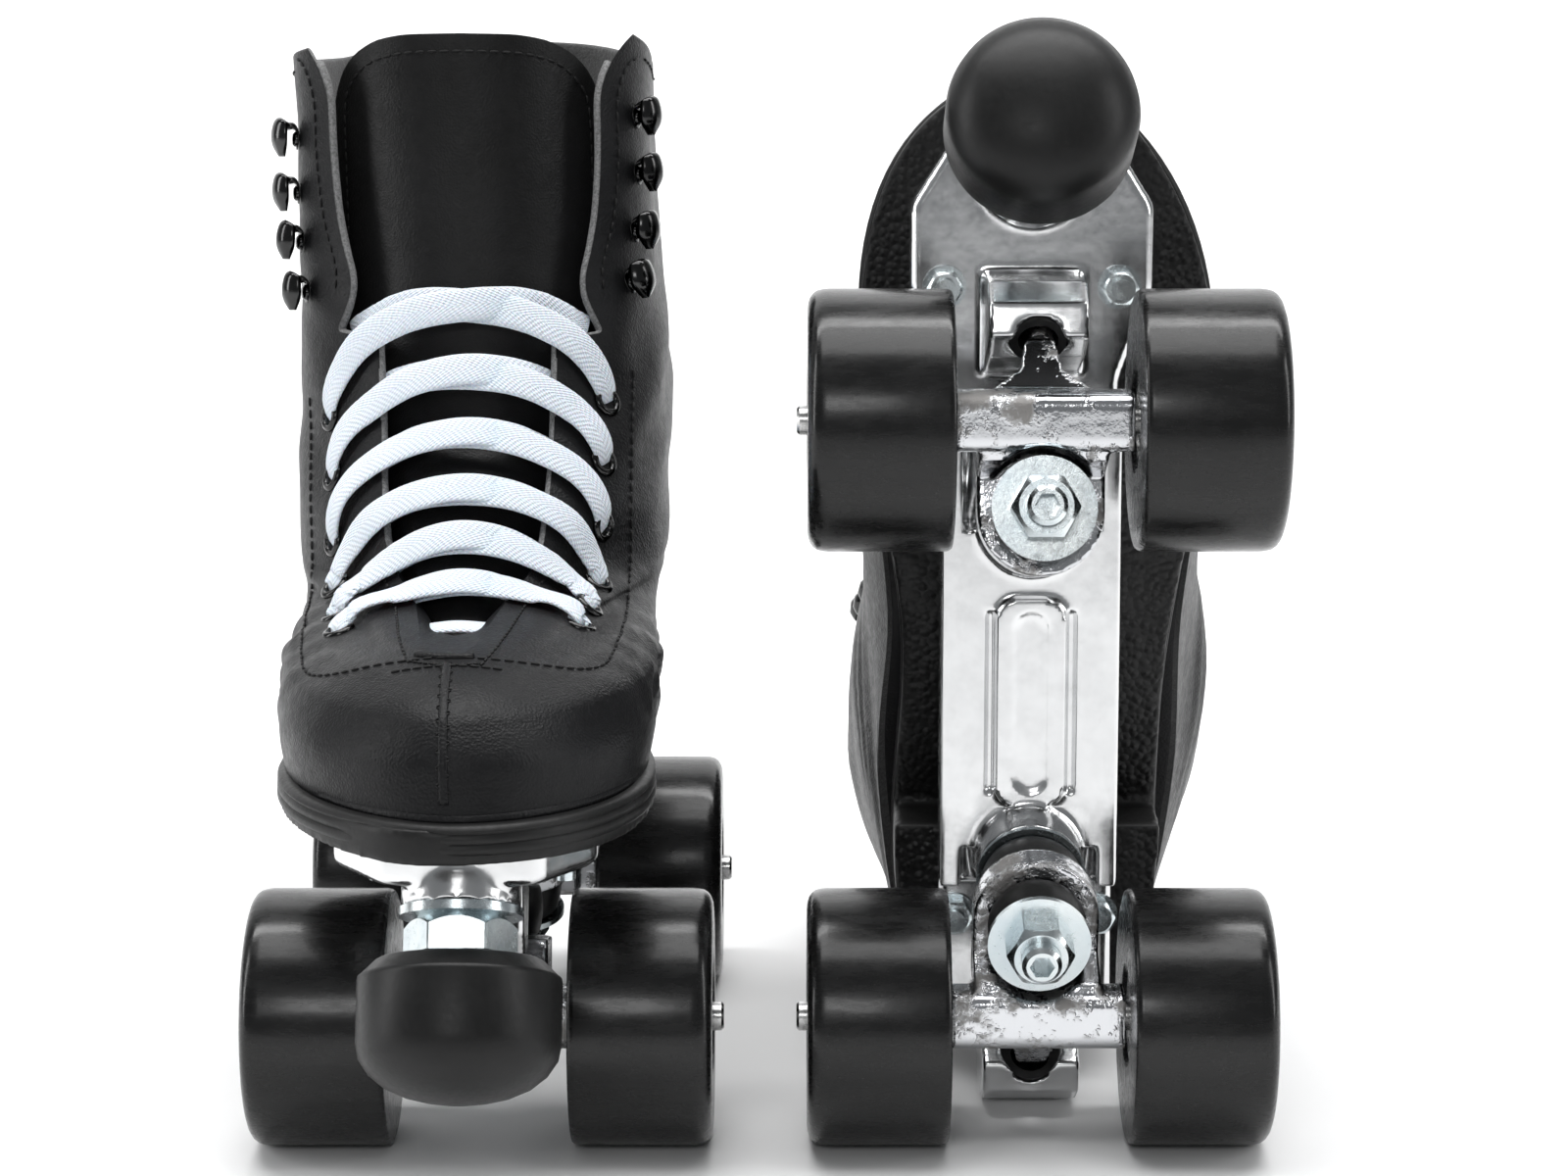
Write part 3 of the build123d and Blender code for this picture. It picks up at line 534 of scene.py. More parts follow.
def creased(p):
    """How far the leather stands off its form: soft folds where the foot bends and slack round the ankle."""
    q = Vector((p.x * 0.018, p.y * 0.022, p.z * 0.026))
    d = 0.9 * noise.noise(q) + 0.35 * noise.noise(q * 3.1)
    flex = math.exp(-((p.y + 62) / 26) ** 2 - ((p.z - 118) / 17) ** 2)
    side = min(1.0, abs(p.x - middle(p.z)) / 30.0) ** 2
    d += 0.75 * flex * side * math.sin(0.42 * (p.y + 0.8 * p.z) + 2 * noise.noise(q * 2))
    ankle = math.exp(-((p.z - 178) / 24) ** 2) * side
    return d + 0.55 * ankle * math.sin(0.26 * (p.z - 0.5 * p.y) + 2.5 * noise.noise(q * 1.6))


def upper_grids():
    """Points of the outer wall and their normals, with the rows close together over the toe box."""
    outer, rows = [], 0
    for part in (*np.linspace(0, 1, 12, endpoint=False), *np.linspace(1, 2, 62, endpoint=False),
                 *np.linspace(2, 3, 52)):
        rows += 1
        for c in range(COLUMNS):
            low = foot_line(wall(c, 100.0)[1]) - 1.0
            high = collar(*wall(c, 258.0).xy)
            bends = [low, 116.0, 137.0, high]
            k = min(int(part), 2)
            outer.append(wall(c, bends[k] + (bends[k + 1] - bends[k]) * (part - k)))
    grid = np.array([tuple(v) for v in outer]).reshape(rows, COLUMNS, 3)
    round_ = np.roll(grid, -1, 1) - np.roll(grid, 1, 1)
    up = np.gradient(grid, axis=0)
    normals = np.cross(round_, up)
    normals /= np.linalg.norm(normals, axis=2, keepdims=True)
    folds = np.array([[creased(Vector(grid[r, c])) for c in range(COLUMNS)] for r in range(rows)])
    fade = np.minimum(1.0, np.minimum(np.arange(rows), np.arange(rows)[::-1]) / 8.0)[:, None]
    grid = grid + normals * ((folds - 0.5) * fade)[..., None]
    return grid, normals


GRID, NORMALS = upper_grids()
ROWS = GRID.shape[0]
OUTER = BVHTree.FromPolygons([Vector(p) for p in GRID.reshape(-1, 3)], grid_faces(ROWS, COLUMNS))
WALL_T = 2.7
FAR = 200.0          # well in front of the toe
THROAT_REACH = 47.0  # Y + Z at the throat's foot
REACH_RISE = 1.56    # how much Y + Z grows for each millimetre of height


def surface(span, reach, lift=0.0):
    """Point over the upper's front and the outward normal: span from the throat's middle, reach = Y + Z."""
    x = middle(THROAT_FOOT + (reach - THROAT_REACH) / REACH_RISE) + span
    hit, normal, _, _ = OUTER.ray_cast(Vector((x, -FAR, reach + FAR)), Vector((0, 1, -1)).normalized())
    normal = -normal if normal.y > 0 and normal.z < 0.5 else normal
    if normal.dot(Vector((0, -1, 1))) < 0:
        normal = -normal
    return hit + normal * lift, normal


def front(x, z, lift=0.0):
    """The same for a point seen straight from the front, x from the throat's middle."""
    hit, normal, _, _ = OUTER.ray_cast(Vector((middle(z) + x, -FAR, z)), Vector((0, 1, 0)))
    if normal.y > 0:
        normal = -normal
    return hit + normal * lift, normal


# ---- upper -----------------------------------------------------------------------------
# half of the throat's outline, as (half width, height) and the radius of each corner
THROAT = [(0, 128.6), (5.6, 129.0), (11.5, 133.6), (19, 141), (21, 160), (22, 189), (33.5, 190), (28.5, 201),
          (32.5, 216), (34, 232), (34.2, 250), (38.5, 259), (48, 268), (48, 285)]
THROAT_RADII = [0, 2.5, 7, 6, 30, 1.2, 1.6, 5, 18, 18, 12, 9, 6, 0]
HALF_THROAT = rounded(THROAT, THROAT_RADII, 6)
FELT_FROM = 139.5    # the throat's edge is finished with leather below this and left raw above it


def throat_cutter():
    loop = [(v.x, v.y) for v in HALF_THROAT] + [(-v.x, v.y) for v in reversed(HALF_THROAT) if v.x > 0]
    verts = [(middle(z) + x, y, z) for y in (-FAR, 24.0) for x, z in loop]
    n = len(loop)
    faces = [tuple(range(n))[::-1], tuple(range(n, 2 * n)), *grid_faces(2, n)]
    edges = [0 if min(loop[k][1], loop[(k + 1) % n][1]) < FELT_FROM else 2 for k in range(n)]
    return faced_out(mesh_of("cutter", verts, faces, [LEATHER, LINING, RAW_EDGE], [0, 0, *edges]))


def make_upper():
    inner = GRID - NORMALS * WALL_T
    rolled = []
    # the collar's edge is turned over: rings from the outer wall to the inner one
    for k in range(1, 6):
        a = math.pi * k / 6
        mid = (GRID[-1] + inner[-1]) / 2
        rolled.append(mid + (GRID[-1] - inner[-1]) / 2 * math.cos(a) + np.array([0, 0, 1.1]) * math.sin(a))
    rings = [*GRID, *rolled, *inner[::-1]]
    verts = np.array(rings).reshape(-1, 3)
    faces = grid_faces(len(rings), COLUMNS, looped=True)
    leather_rows = ROWS + len(rolled) // 2
    indices = [0 if k // COLUMNS < leather_rows else 1 for k in range(len(faces))]
    shell = mesh_of("shell", verts, faces, [LEATHER, LINING, RAW_EDGE], indices)
    cutter = bpy.data.objects.new("cutter", throat_cutter())
    bpy.context.scene.collection.objects.link(cutter)
    cut = worked(shell, ("BOOLEAN", {"object": cutter, "operation": "DIFFERENCE", "solver": "EXACT"}))
    bpy.data.objects.remove(cutter)
    soften(cut, 42)
    return cut


put("upper", make_upper(), replaces=["upper"])


# ---- stitching -------------------------------------------------------------------------
def capsule(at, along, up, length, width):
    """Vertices and faces of one raised thread stitch."""
    across = along.cross(up).normalized()
    verts, sides = [], 6
    for t, s in ((-0.5, 0.0), (-0.36, 0.8), (0.0, 1.0), (0.36, 0.8), (0.5, 0.0)):
        for k in range(sides):
            a = 2 * math.pi * k / sides
            round_ = (across * math.cos(a) + up * math.sin(a)) * (width / 2 * max(s, 0.15))
            verts.append(at + along * (t * length) + round_)
    return verts, tube_faces(5, sides)


def stitched(path, pitch=3.1, length=2.3, width=0.75, zigzag=0.0):
    """Stitches along a path of (point, normal) on the leather."""
    verts, faces = [], []
    walked, nxt, flip = 0.0, pitch / 2, 1
    for (a, na), (b, nb) in zip(path, path[1:]):
        run = (b - a).length
        while walked + run > nxt and run > 1e-6:
            t = (nxt - walked) / run
            at, up = a.lerp(b, t), na.lerp(nb, t).normalized()
            along = (b - a).normalized()
            if zigzag:
                across = along.cross(up).normalized()
                along = (along * 0.5 + across * flip * zigzag).normalized()
                flip = -flip
            v, f = capsule(at + up * 0.12, along, up, length, width)
            faces += [tuple(i + len(verts) for i in face) for face in f]
            verts += v
            nxt += pitch
        walked += run
    return verts, faces


def dense(points, steps=8):
    """Catmull-Rom samples through tuples."""
    p = [np.array(q, float) for q in points]
    p = [2 * p[0] - p[1], *p, 2 * p[-1] - p[-2]]
    out = []
    for i in range(1, len(p) - 2):
        for k in range(steps):
            t = k / steps
            out.append(0.5 * (2 * p[i] + (p[i + 1] - p[i - 1]) * t
                              + (2 * p[i - 1] - 5 * p[i] + 4 * p[i + 1] - p[i + 2]) * t * t
                              + (3 * p[i] - p[i - 1] - 3 * p[i + 1] + p[i + 2]) * t ** 3))
    out.append(p[-2])
    return out


def wall_path(points):
    """Path on the upper from (column, height) points."""
    path = []
    for c, z in points:
        p, q = wall(c, z), wall(c + 0.4, z)
        up = wall(c, z + 1.0)
        normal = (q - p).cross(up - p).normalized()
        hit = OUTER.find_nearest(p)[0]
        path.append((hit, normal))
    return path


def column_near(x, y, z=200.0):
    return min(range(COLUMNS), key=lambda c: (wall(c, z).x - x) ** 2 + (wall(c, z).y - y) ** 2)


def make_stitching():
    verts, faces = [], []

    def sew(path, **how):
        v, f = stitched(path, **how)
        faces.extend([tuple(i + len(verts) for i in face) for face in f])
        verts.extend(v)

    for side in (1, -1):
        # along the eyelet facing, round its corner and across the instep
        facing = [(0, 9.5), (12, 10.5), (23, 12.5), (30, 16.5), (34.5, 24), (36.5, 35), (38.5, 60),
                  (39.5, 100), (40.5, 140), (41.2, 172)]
        sew([surface(side * s, r) for s, r in dense(facing)])
        # round the hook flap's edge and along the collar
        flap = [(x + 4.0, z) for x, z in [(29.5, 200), (29.5, 206), (32.5, 218), (34, 232), (34.2, 246)]]
        flap += [(40.5, 254.0), (43.5, 257.0)]
        sew([front(side * x, z) for x, z in dense(flap)])
    start, end = column_near(middle(250) + 41, 12), column_near(middle(250) - 41, 12)
    sew(wall_path([(c, collar(*wall(c, 256.0).xy) - 4.0) for c in range(start, end + 1)]))
    for off in (-1.6, 1.6):
        sew(wall_path([(BACK + off, z) for z in range(116, 256, 2)]))
    # vamp's centre seam
    centre = [surface(0.0, r) for r in np.arange(5.5, -46.0, -1.5)]
    sew(centre, pitch=1.9, length=3.6, width=0.6, zigzag=1.0)
    # bar tack and the doubled stitches under the throat
    sew([front(x, 127.3) for x in np.arange(-9.5, 9.6, 1.0)], pitch=1.5, length=1.3)
    sew([surface(x, 4.6) for x in np.arange(-13, 13.1, 1.0)], pitch=2.6, length=2.2)
    for side in (1, -1):
        sew([front(side * (x + 2.6), z - 2.4) for x, z in dense([(5.6, 129.4), (11.5, 133.6), (17, 139)], 6)],
            pitch=2.4, length=1.8)
    return mesh_of("stitches", verts, faces, [THREAD])


put("stitching", make_stitching())


def tube(path, width, height, material, sides=10, lift=0.0):
    """Rounded strip along a path of (point, normal)."""
    verts = []
    for i, (p, n) in enumerate(path):
        a, b = path[max(i - 1, 0)][0], path[min(i + 1, len(path) - 1)][0]
        along = (b - a).normalized()
        across = along.cross(n).normalized()
        up = across.cross(along).normalized()
        for k in range(sides):
            t = 2 * math.pi * k / sides
            verts.append(p + up * (lift + math.sin(t) * height / 2) + across * math.cos(t) * width / 2)
    return mesh_of("strip", verts, tube_faces(len(path), sides), [material])


# raised seams: the vamp's centre, the heel's back strap, the small tab at the foot of the throat
ridges = [tube([surface(0.0, r) for r in np.arange(6.5, -47.0, -1.2)], 2.2, 1.0, LEATHER),
          tube(wall_path([(BACK, z) for z in range(113, 259, 3)]), 13.0, 1.5, LEATHER, 14),
          tube([front(x, 128.4) for x in np.arange(-6.5, 6.6, 0.8)], 2.6, 1.8, LEATHER)]
put("seams", join(ridges))


def make_felt_edge():
    """The felted edge between leather and lining that shows along the facings and round the flaps."""
    strips = []
    for side in (1, -1):
        path = [front(side * (v.x + 0.15), v.y) for v in HALF_THROAT if 142.0 < v.y < 257.0]
        strips.append(tube(path, 1.5, 2.4, RAW_EDGE, 10, -1.35))
    return join(strips)


put("felt_edge", make_felt_edge())


# ---- tongue ----------------------------------------------------------------------------
BOWS = [(112, -98, 12, -92), (121, -84, 12, -78), (134, -72, 13, -64), (150, -53, 22, -34),
        (172, -28.5, 29, -6), (200, -15.5, 32, 5), (232, -8, 33, 12), (268, -3, 33, 15)]


def tongue_point(x, z, lift=0.0):
    """Point of the tongue's front, x from the throat's middle."""
    crown, half, side = steady([b[0] for b in BOWS], [b[1:] for b in BOWS], z)
    y = crown + (side - crown) * min(abs(x) / half, 1.15) ** 2.4
    wave = 0.5 * noise.noise(Vector((x * 0.03, z * 0.03, 4.0)))
    return Vector((middle(z) + x, y + wave - lift, z))


def tongue_top(x):
    return float(steady([0, 12, 20, 26, 30, 33, 35], [263.6, 263.3, 262.0, 259.0, 255.0, 248.5, 238.0],
                        abs(x)))


def tongue_half(z):
    return float(steady([112, 124, 136, 150, 172, 200, 266], [12, 13.5, 19, 28, 31.5, 35.0, 35.0], z))


def make_tongue():
    rows, columns = 70, 45
    verts = []
    for r in range(rows):
        for c in range(columns):
            u = math.sin(math.pi / 2 * (2 * c / (columns - 1) - 1))
            z = 113.0 + (tongue_top(u * 35.0) - 113.0) * r / (rows - 1)
            verts.append(tongue_point(u * tongue_half(z), z))
    sheet = mesh_of("tongue", verts, grid_faces(rows, columns, closed=False), [TONGUE_LEATHER, LINING])
    faced_out(sheet)
    if sheet.polygons[rows * columns // 2].normal.y > 0:
        sheet.flip_normals()
    solid = worked(sheet, ("SOLIDIFY", {"thickness": 2.6, "offset": -1.0, "material_offset": 1,
                                        "material_offset_rim": 0, "use_even_offset": True}),
                   ("BEVEL", {"width": 0.7, "segments": 3, "limit_method": "ANGLE",
                              "angle_limit": math.radians(55)}))
    soften(solid, 60)
    return solid


put("tongue", make_tongue(), replaces=["tongue"])


def tongue_stitching():
    edge = [(31.0, z) for z in range(196, 240, 4)]
    edge += [(30.5, 246), (28.4, 251), (24.5, 255.2), (19.0, 257.6), (12, 258.8), (0, 259.2)]
    path = [*edge, *[(-x, z) for x, z in reversed(edge[:-1])]]
    points = []
    for x, z in dense(path, 5):
        x = max(-tongue_half(z) + 4.0, min(tongue_half(z) - 4.0, x)) if z < 240 else x
        p = tongue_point(x, z)
        slope = (tongue_point(x + 0.5, z) - tongue_point(x - 0.5, z)).cross(
            tongue_point(x, z + 0.5) - tongue_point(x, z - 0.5)).normalized()
        points.append((p, slope if slope.y < 0 else -slope))
    verts, faces = stitched(points)
    return mesh_of("tongue_stitches", verts, faces, [THREAD])


put("tongue_stitching", tongue_stitching())


# ---- lace ------------------------------------------------------------------------------
ROWS_OF_EYELETS = [(28.5, 49.0), (30.3, 65.0), (32.0, 85.0), (33.2, 107.0), (33.6, 131.0), (34.6, 155.0)]
HOOKS = [(40.5, 203.0), (42.0, 221.0), (43.0, 239.0), (43.0, 256.0)]
# along a crossing from one eyelet to the throat's other edge: place across, part of the rise, lift, width
CROSSING = [(1.03, -0.05, -2.4, 4.6), (1.0, 0.04, 0.2, 6.0), (0.955, 0.22, 1.5, 7.8), (0.86, 0.45, 1.9, 8.3),
            (0.70, 0.64, 1.7, 8.5), (0.40, 0.81, 1.2, 8.5), (0.0, 0.90, 0.6, 8.5), (-0.32, 0.93, -0.4, 8.5),
            (-0.56, 0.94, -2.2, 8.4), (-0.72, 0.93, -3.9, 8.0), (-0.86, 0.92, -4.6, 6.5),
            (-0.97, 0.92, -4.8, 5.0)]
BAND_T = 1.25


def band(points, wobble, sides=14):
    """Flat lace along (span, reach, lift, width) points, with UVs across it and in millimetres along it."""
    path = dense(points, 9)
    places, widths = [], []
    for s, r, lift, width in path:
        p, n = surface(s, r)
        places.append([p + n * lift, n])
        widths.append(width)
    for _ in range(5):
        for i in range(1, len(places) - 1):
            places[i][1] = (places[i - 1][1] + places[i][1] * 2 + places[i + 1][1]).normalized()
    verts, uvs, walked = [], [], 0.0
    for i, (p, n) in enumerate(places):
        a, b = places[max(i - 1, 0)][0], places[min(i + 1, len(places) - 1)][0]
        along = (b - a).normalized()
        across = along.cross(n).normalized()
        across.rotate(Matrix.Rotation(wobble * math.sin(3.1 * i / len(places)), 3, along))
        up = across.cross(along).normalized()
        walked += (p - places[i - 1][0]).length if i else 0.0
        w = widths[i] / 2 * (1 + 0.02 * noise.noise(Vector((walked * 0.2, wobble * 40, 1))))
        for k in range(sides):
            t = 2 * math.pi * k / sides
            c, s = math.cos(t), math.sin(t)
            x = math.copysign(abs(c) ** 0.55, c)
            crown = 0.18 * (1 - x * x)
            verts.append(p + across * (x * w) + up * (math.copysign(abs(s) ** 0.7, s) * BAND_T / 2 + crown))
            uvs.append((0.5 + 0.5 * x, walked))
    return faced_out(mesh_of("band", verts, tube_faces(len(places), sides, flip=True), [LACE], uvs=uvs))


def lace_bands():
    bands = []
    low_span, low = ROWS_OF_EYELETS[0]
    # the lowest run passes under the flaps from eyelet to eyelet and shows in the foot of the throat
    half = [(low_span, low, -4.6, 4.6), (24, low - 1.5, -4.6, 6), (15, low - 3.5, -3.8, 8),
            (7, low - 4.5, -3.0, 8.2)]
    run = [*half, (0, low - 4.7, -2.6, 8.2), *[(-span, *rest) for span, *rest in reversed(half)]]
    bands.append(band(run, 0.03))
    for row, (span, reach) in enumerate(ROWS_OF_EYELETS):
        last = row == len(ROWS_OF_EYELETS) - 1
        nxt_span, nxt = (33.0, 181.5) if last else ROWS_OF_EYELETS[row + 1]
        for side in (1, -1):
            over = 0.75 if side < 0 else -0.75
            points = []
            for place, part, lift, width in CROSSING:
                if last:
                    part = min(part, 1.0) * 0.9 + 0.1 * max(place * -1, 0)
                    lift = max(lift, -3.2) if side < 0 else max(lift - 0.4, -4.4)
                x = place * (span if place > 0 else nxt_span)
                near = max(0.0, 1 - abs(place) / 0.62)
                sag = 0.5 * math.sin(row * 2.4 + side)
                rise = part * (nxt - reach) + sag * near
                points.append((side * x, reach + rise, lift + over * near, width))
            bands.append(band(points, 0.05 * math.sin(row * 1.7 + side)))
    return join(bands)


put("lace", lace_bands(), replaces=["lace"])


# ---- eyelets and hooks -----------------------------------------------------------------
def frame_at(point, normal):
    """x level, y up the leather, z out of it."""
    level = Vector((0, 0, 1)).cross(normal).normalized()
    return Matrix((level, normal.cross(level), normal)).transposed()


def make_eyelets():
    rings = []
    profile = [(-2.6, 2.15), (0.6, 2.15), (1.05, 2.45), (1.2, 3.0), (1.0, 3.6), (0.45, 4.05), (0.0, 4.0),
               (-0.1, 2.7), (-2.6, 2.7)]
    for span, reach in ROWS_OF_EYELETS:
        for side in (1, -1):
            p, n = surface(side * span, reach)
            rings.append(revolved(profile, p, n, BLACK_METAL, 28, 60))
    return join(rings)


# (out of the leather, up it), width, thickness and dish along the bent strip, from its foot to the cap's end
HOOK_PATH = [(0.5, -4.2), (0.5, -0.6), (0.9, 1.0), (1.9, 1.7), (3.1, 1.7), (4.2, 2.4), (4.9, 3.0), (5.5, 2.2),
             (5.9, -0.4), (5.7, -3.4), (4.9, -6.0)]
HOOK_WIDTHS = [3.0, 5.4, 5.2, 4.6, 4.6, 5.4, 6.6, 8.0, 9.2, 8.4, 5.0]
HOOK_THICK = [0.9, 0.9, 1.2, 2.0, 2.2, 2.0, 1.8, 2.2, 2.4, 2.1, 1.2]
HOOK_DISH = [0.0, 0.0, 0.0, 0.0, 0.2, 0.6, 1.2, 2.0, 2.4, 2.2, 1.4]


def make_hooks():
    hooks = []
    for span, reach in HOOKS:
        for side in (1, -1):
            p, n = surface(side * span, reach)
            axes = frame_at(p, n)
            path = dense([(o, u, w, h, d) for (o, u), w, h, d
                          in zip(HOOK_PATH, HOOK_WIDTHS, HOOK_THICK, HOOK_DISH)], 4)
            verts, sides = [], 12
            for i, (out, up, width, thick, dish) in enumerate(path):
                a, b = path[max(i - 1, 0)], path[min(i + 1, len(path) - 1)]
                run = Vector((0, b[1] - a[1], b[0] - a[0])).normalized()
                skin = Vector((0, -run.z, run.y))
                end = min(1.0, ((len(path) - 1 - i) / 6 + 0.12) ** 0.5, i / 4 + 0.5)
                for k in range(sides):
                    t = 2 * math.pi * k / sides
                    c, s = math.cos(t), math.sin(t)
                    local = Vector((math.copysign(abs(c) ** 0.6, c) * width / 2 * end, up, out))
                    local += skin * (s * thick / 2 * (1 - 0.5 * abs(c)) * end)
                    local.z -= dish * abs(c) ** 2
                    verts.append(p + axes @ local)
            hooks.append(faced_out(mesh_of("hook", verts, tube_faces(len(path), sides), [BLACK_METAL])))
            rivet = [(0.0, 1.9), (0.7, 1.9), (1.15, 1.4), (1.25, 0.05), (0.0, 0.05)]
            hooks.append(revolved(rivet, p + axes @ Vector((0, -1.6, 0.5)), n, BLACK_METAL, 20, 50))
    return join(hooks)


put("eyelets", make_eyelets(), replaces=["eyelets"])
put("lace_hooks", make_hooks(), replaces=["lace_hooks"])


# ---- sole and footbed ------------------------------------------------------------------
def recast(node, side, voxel, smooth):
    """A copy of a CAD node's mesh with the soft edges of a casting or moulding, in the row frame."""
    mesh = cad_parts[f"{side}_{node}"].data.copy()
    mesh.materials.clear()
    return worked(mesh, ("REMESH", {"mode": "VOXEL", "voxel_size": voxel * MM, "use_smooth_shade": True}),
                  ("SMOOTH", {"factor": 0.5, "iterations": smooth}))


def put_recast(node, voxel, smooth, material, body="skate", second=None):
    """Places the recast node on each skate; its faces that look down from the boot take the second material."""
    for side in SIDES:
        mesh = recast(node, side, voxel, smooth)
        mesh.materials.append(material)
        if second:
            mesh.materials.append(second)
            down = Vector((0, 0, -1)) if side == "right" else Vector((0, -1, 0))
            mesh.polygons.foreach_set("material_index",
                                      [1 if p.normal.dot(down) > 0.75 else 0 for p in mesh.polygons])
        soften(mesh)
        piece = bpy.data.objects.new(f"{side}_{node}_look", mesh)
        bpy.context.scene.collection.objects.link(piece)
        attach(piece, f"{side}_{body}")
        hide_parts(f"{side}_{node}")


put_recast("outsole", 1.0, 4, SOLE, second=SOLE_PEBBLE)


def make_rand():
    """Three ridges moulded round the sole's edge, level with where the foot rests."""
    curve = closed_curve(SOLE_OUTLINE)
    n = len(curve)
    tangents = np.roll(curve, -1, 0) - np.roll(curve, 1, 0)
    outward = np.stack([tangents[:, 1], -tangents[:, 0]], 1)
    outward /= np.linalg.norm(outward, axis=1, keepdims=True)
    profile = [(-2.5, 1.2), (-1.4, 1.1), (-0.1, 0.6), (0.3, -0.2), (-0.1, -0.9), (0.35, -1.6), (0.4, -2.5),
               (0.0, -3.1), (0.45, -3.7), (0.45, -4.7), (0.1, -5.4), (-0.8, -5.9), (-2.5, -5.9)]
    verts = []
    for out, down in profile:
        for i in range(n):
            x, y = curve[i] + outward[i] * out
            verts.append((x, y, foot_line(curve[i][1]) + down))
    faces = grid_faces(len(profile), n, looped=True, flip=True)
    mesh = faced_out(mesh_of("rand", verts, faces, [SOLE]))
    soften(mesh, 50)
    return mesh


put("sole_rand", make_rand())


def make_lasting_margin():
    """Leather drawn in under the foot, from the upper's lower edge to beneath the sole's rim."""
    rings = []
    for inward, rise in ((-0.2, 2.2), (0.0, 0.2), (0.8, -0.9), (2.4, -1.3), (8.0, -1.2), (15.0, -0.8)):
        for c in range(COLUMNS):
            base = wall(c, foot_line(wall(c, 100.0).y) + 0.5)
            to_middle = (Vector((0, min(max(base.y, -100.0), 62.0), base.z)) - base).normalized()
            rings.append(base + to_middle * inward + Vector((0, 0, rise)))
    mesh = mesh_of("margin", rings, grid_faces(6, COLUMNS, flip=True), [LEATHER])
    return worked(mesh, ("SOLIDIFY", {"thickness": 0.8, "offset": -1.0}))


put("lasting_margin", make_lasting_margin())


def make_footbed():
    """Padded footbed, higher round its rim, that closes the bottom of the upper."""
    ring = closed_curve(outline(*SECTIONS[PLATE_TOP]))
    centre = np.array([0.0, -20.0])
    verts, rows = [], 9
    for k in range(rows):
        t = 1 - k / rows
        for x, y in ring:
            spot = np.array([x, y])
            inward = (centre - spot) / np.linalg.norm(centre - spot)
            spot = (spot + inward * 4.6) * t + centre * (1 - t)
            verts.append((spot[0], spot[1], foot_line(spot[1]) + 3.6 + 1.2 * t ** 4))
    n = len(ring)
    faces = grid_faces(rows, n)
    verts.append((*centre, foot_line(centre[1]) + 3.6))
    faces += [((rows - 1) * n + k, (rows - 1) * n + (k + 1) % n, len(verts) - 1) for k in range(n)]
    mesh = mesh_of("footbed", verts, faces, [LINING])
    return worked(mesh, ("SOLIDIFY", {"thickness": 2.8, "offset": -1.0}))


put("footbed", make_footbed(), replaces=["insole"])


# ---- wheels, toe stop, cushions --------------------------------------------------------
def wheel_profile():
    raw = [(-15.9, 11.1), (-15.9, 11.6), (-17, 12.4), (-17, 31), (17, 31), (17, 14.0), (9.0, 13.0),
           (9.0, 11.05), (2.0, 11.05), (2.0, 9.0), (-9.0, 9.0), (-9.0, 11.05)]
    radii = [0, 0.3, 0.6, 1.8, 5.0, 0.9, 0.5, 0.1, 0.1, 0.1, 0.1, 0.1]
    loop = rounded([*raw, raw[0]], [*radii, 0], 6)
    out = []
    for v in loop[:-1]:
        # a faint crown on the tread
        crown = -0.18 * ((v.x / 17.0) ** 2) if v.y > 30.5 else 0.0
        out.append((v.x, v.y + crown))
    return out


for end, sign in (("front", -1), ("rear", 1)):
    for which, side in (("inner", 1), ("outer", -1)):
        centre = (side * WHEEL_X, sign * HALF_BASE, WHEEL_R)
        mesh = revolved(wheel_profile(), centre, (side, 0, 0), WHEEL, 112, 40)
        wheel = f"{end}_{which}_wheel"
        put(wheel, mesh, body=wheel, replaces=[wheel])


def leaning(degrees):
    """Axis that leans by that many degrees from +Z towards +Y."""
    a = math.radians(degrees)
    return Vector((0, math.sin(a), math.cos(a)))


# (along the stem, radius) from the stop's rim
pad = [(-13.0, 0.0), (-12.85, 3.5), (-12.3, 7.5), (-11.2, 12.0), (-9.2, 16.5), (-6.4, 20.0), (-3.0, 22.3),
       (0.6, 23.0), (14.6, 23.0), (15.3, 22.85), (15.8, 22.2), (18.9, 19.1), (19.35, 18.2), (19.5, 17.0),
       (19.5, 12.6), (18.6, 12.0), (18.6, 8.1), (6.2, 8.0), (6.2, 0.0)]
put("toe_stop_pad", revolved(pad, (0, -144.0, 45.0), leaning(24.0), STOP, 96, 50, closed=False),
    body="toe_stop", replaces=["toe_stop_pad"])

# each rubber cushion runs from its washer at one end to the hanger's ring at the other, fixed in the row frame
# on no body
for end, sign in (("front", -1), ("rear", 1)):
    foot, lean = Vector((0, 52.5 * sign, 25.0)), leaning(-13.0 * sign)
    lower = [(0.1, 4.95), (0.1, 10.5), (2.8, 11.4), (5.4, 11.8), (8.2, 12.0), (10.8, 11.6), (10.8, 4.95)]
    upper = [(20.1, 4.95), (20.1, 11.9), (23.2, 12.7), (26.3, 13.0), (29.5, 12.9), (32.6, 12.1), (32.6, 4.95)]
    for name, raw, seat, ring in (("lower", lower, 0.1, 10.8), ("upper", upper, 32.6, 20.1)):
        loop = rounded(raw, [0, 1.0, 9, 9, 9, 1.0, 0], 5)
        mesh = revolved([(v.x, v.y) for v in loop], foot, lean, CUSHION, 56, 50)
        put(f"{end}_{name}_cushion", mesh, replaces=["cushions"],
            bend=(f"{end}_truck", foot + lean * seat, foot + lean * ring))

# ---- castings and hardware -------------------------------------------------------------
put_recast("plate", 0.8, 3, PLATE)
for end in ("front", "rear"):
    put_recast(f"{end}_truck", 0.6, 3, TRUCK, body=f"{end}_truck")


def paint(nodes, material):
    for side in SIDES:
        for node in nodes:
            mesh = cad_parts[f"{side}_{node}"].data
            mesh.materials.clear()
            mesh.materials.append(material)


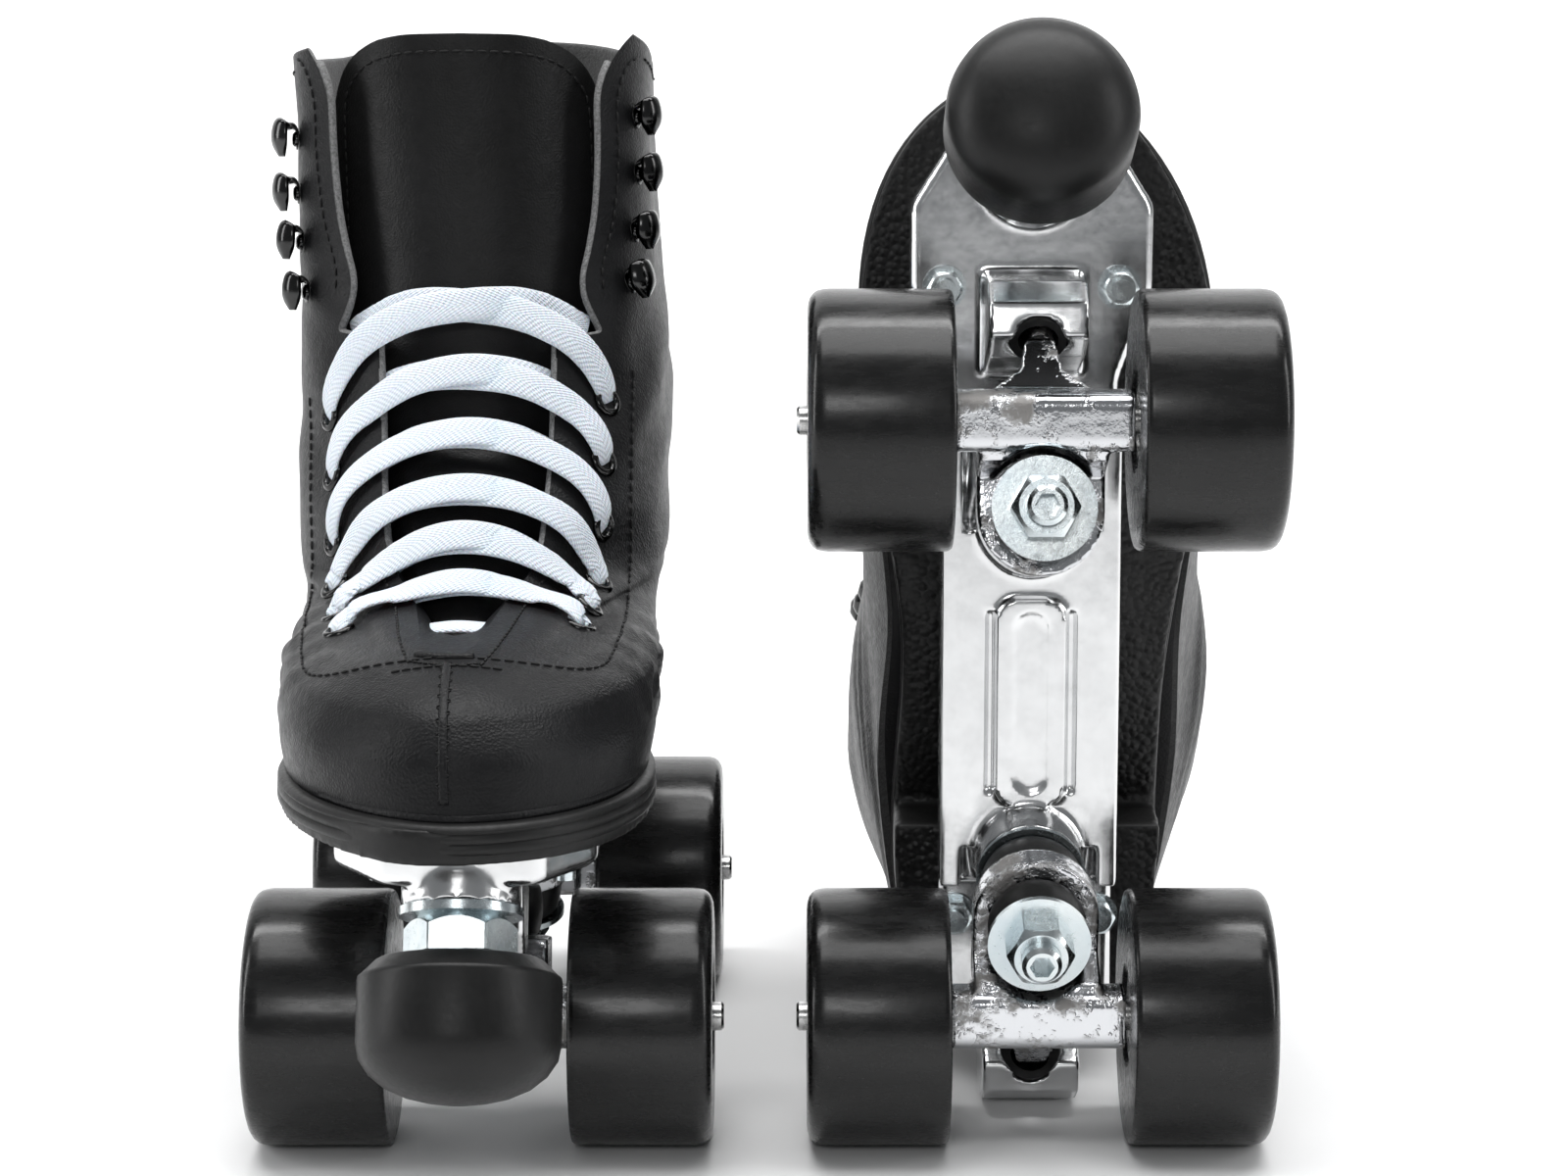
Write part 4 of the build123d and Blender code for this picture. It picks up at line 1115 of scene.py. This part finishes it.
paint(["mounting_screws", "mounting_nuts", "kingpins", "kingpin_nuts", "cushion_washers", "toe_stop_nut",
       "toe_stop_stem"], ZINC)
paint([f"{end}_{part}" for end in ("front", "rear") for part in ("axle", "axle_nuts", "bearings")], STEEL)
paint(["pivot_cups"], CUSHION)


# ---- floor, light, camera --------------------------------------------------------------
def make_stage():
    """White floor that curves up into the backdrop behind the skates."""
    m = Nodes("studio_floor", Specular_IOR_Level=0.2)
    m.mottled(m.noise(3.0), grey(0.86), grey(0.9), 0.3)
    m.rough(0.75)
    bend, back, half = 0.6, 1.1, 4.5
    path = [(-1.7, 0.0), (back, 0.0)]
    turns = np.linspace(0.1, math.pi / 2, 16)
    path += [(back + bend * math.sin(a), bend - bend * math.cos(a)) for a in turns]
    path += [(back + bend, 3.5)]
    verts = [(x, y, z) for y, z in path for x in (-half, half)]
    mesh = mesh_of("studio_floor", verts, grid_faces(len(path), 2, closed=False), [m.material])
    floor = bpy.data.objects.new("studio_floor", mesh)
    bpy.context.scene.collection.objects.link(floor)


def soft_light(name, place, target, size, power, colour=(1, 1, 1)):
    light = bpy.data.lights.new(name, "AREA")
    light.shape = "RECTANGLE"
    light.size, light.size_y = size
    light.energy = power
    light.color = colour
    lamp = bpy.data.objects.new(name, light)
    lamp.location = place
    lamp.rotation_euler = (Vector(target) - Vector(place)).to_track_quat("-Z", "Y").to_euler()
    bpy.context.scene.collection.objects.link(lamp)


def make_studio():
    world = bpy.data.worlds.new("studio")
    world.use_nodes = True
    world.node_tree.nodes["Background"].inputs[0].default_value = (0.94, 0.97, 1.0, 1)
    world.node_tree.nodes["Background"].inputs[1].default_value = 0.22
    bpy.context.scene.world = world
    aim = (0, 0, 0.13)
    soft_light("top", (0.0, -0.35, 1.7), aim, (1.3, 0.7), 13.0)
    soft_light("left", (-1.6, -0.2, 0.7), aim, (0.35, 1.3), 9.0)
    soft_light("right", (1.6, -0.5, 0.8), aim, (0.35, 1.3), 8.0)
    soft_light("front", (-0.25, -2.3, 1.1), aim, (0.7, 0.5), 8.0)
    soft_light("backdrop", (0.0, 0.35, 2.2), (0, 1.6, 0.3), (3.0, 0.5), 60.0)


def make_camera():
    """906 mm in front of the standing skate's front axle, 299 mm up, looking 10.2 degrees down."""
    axle = middle_of("right_front_axle")
    camera = bpy.data.cameras.new("camera")
    camera.sensor_width = 36.0
    camera.lens = 89.3
    eye = bpy.data.objects.new("camera", camera)
    eye.location = (axle.x + 0.0725, axle.y - 0.906, 0.299)
    eye.rotation_euler = (math.radians(90 - 10.2), 0, 0)
    bpy.context.scene.collection.objects.link(eye)
    bpy.context.scene.camera = eye


make_stage()
make_studio()
make_camera()
bpy.context.scene.view_settings.view_transform = "Standard"
bpy.context.scene.view_settings.look = "None"
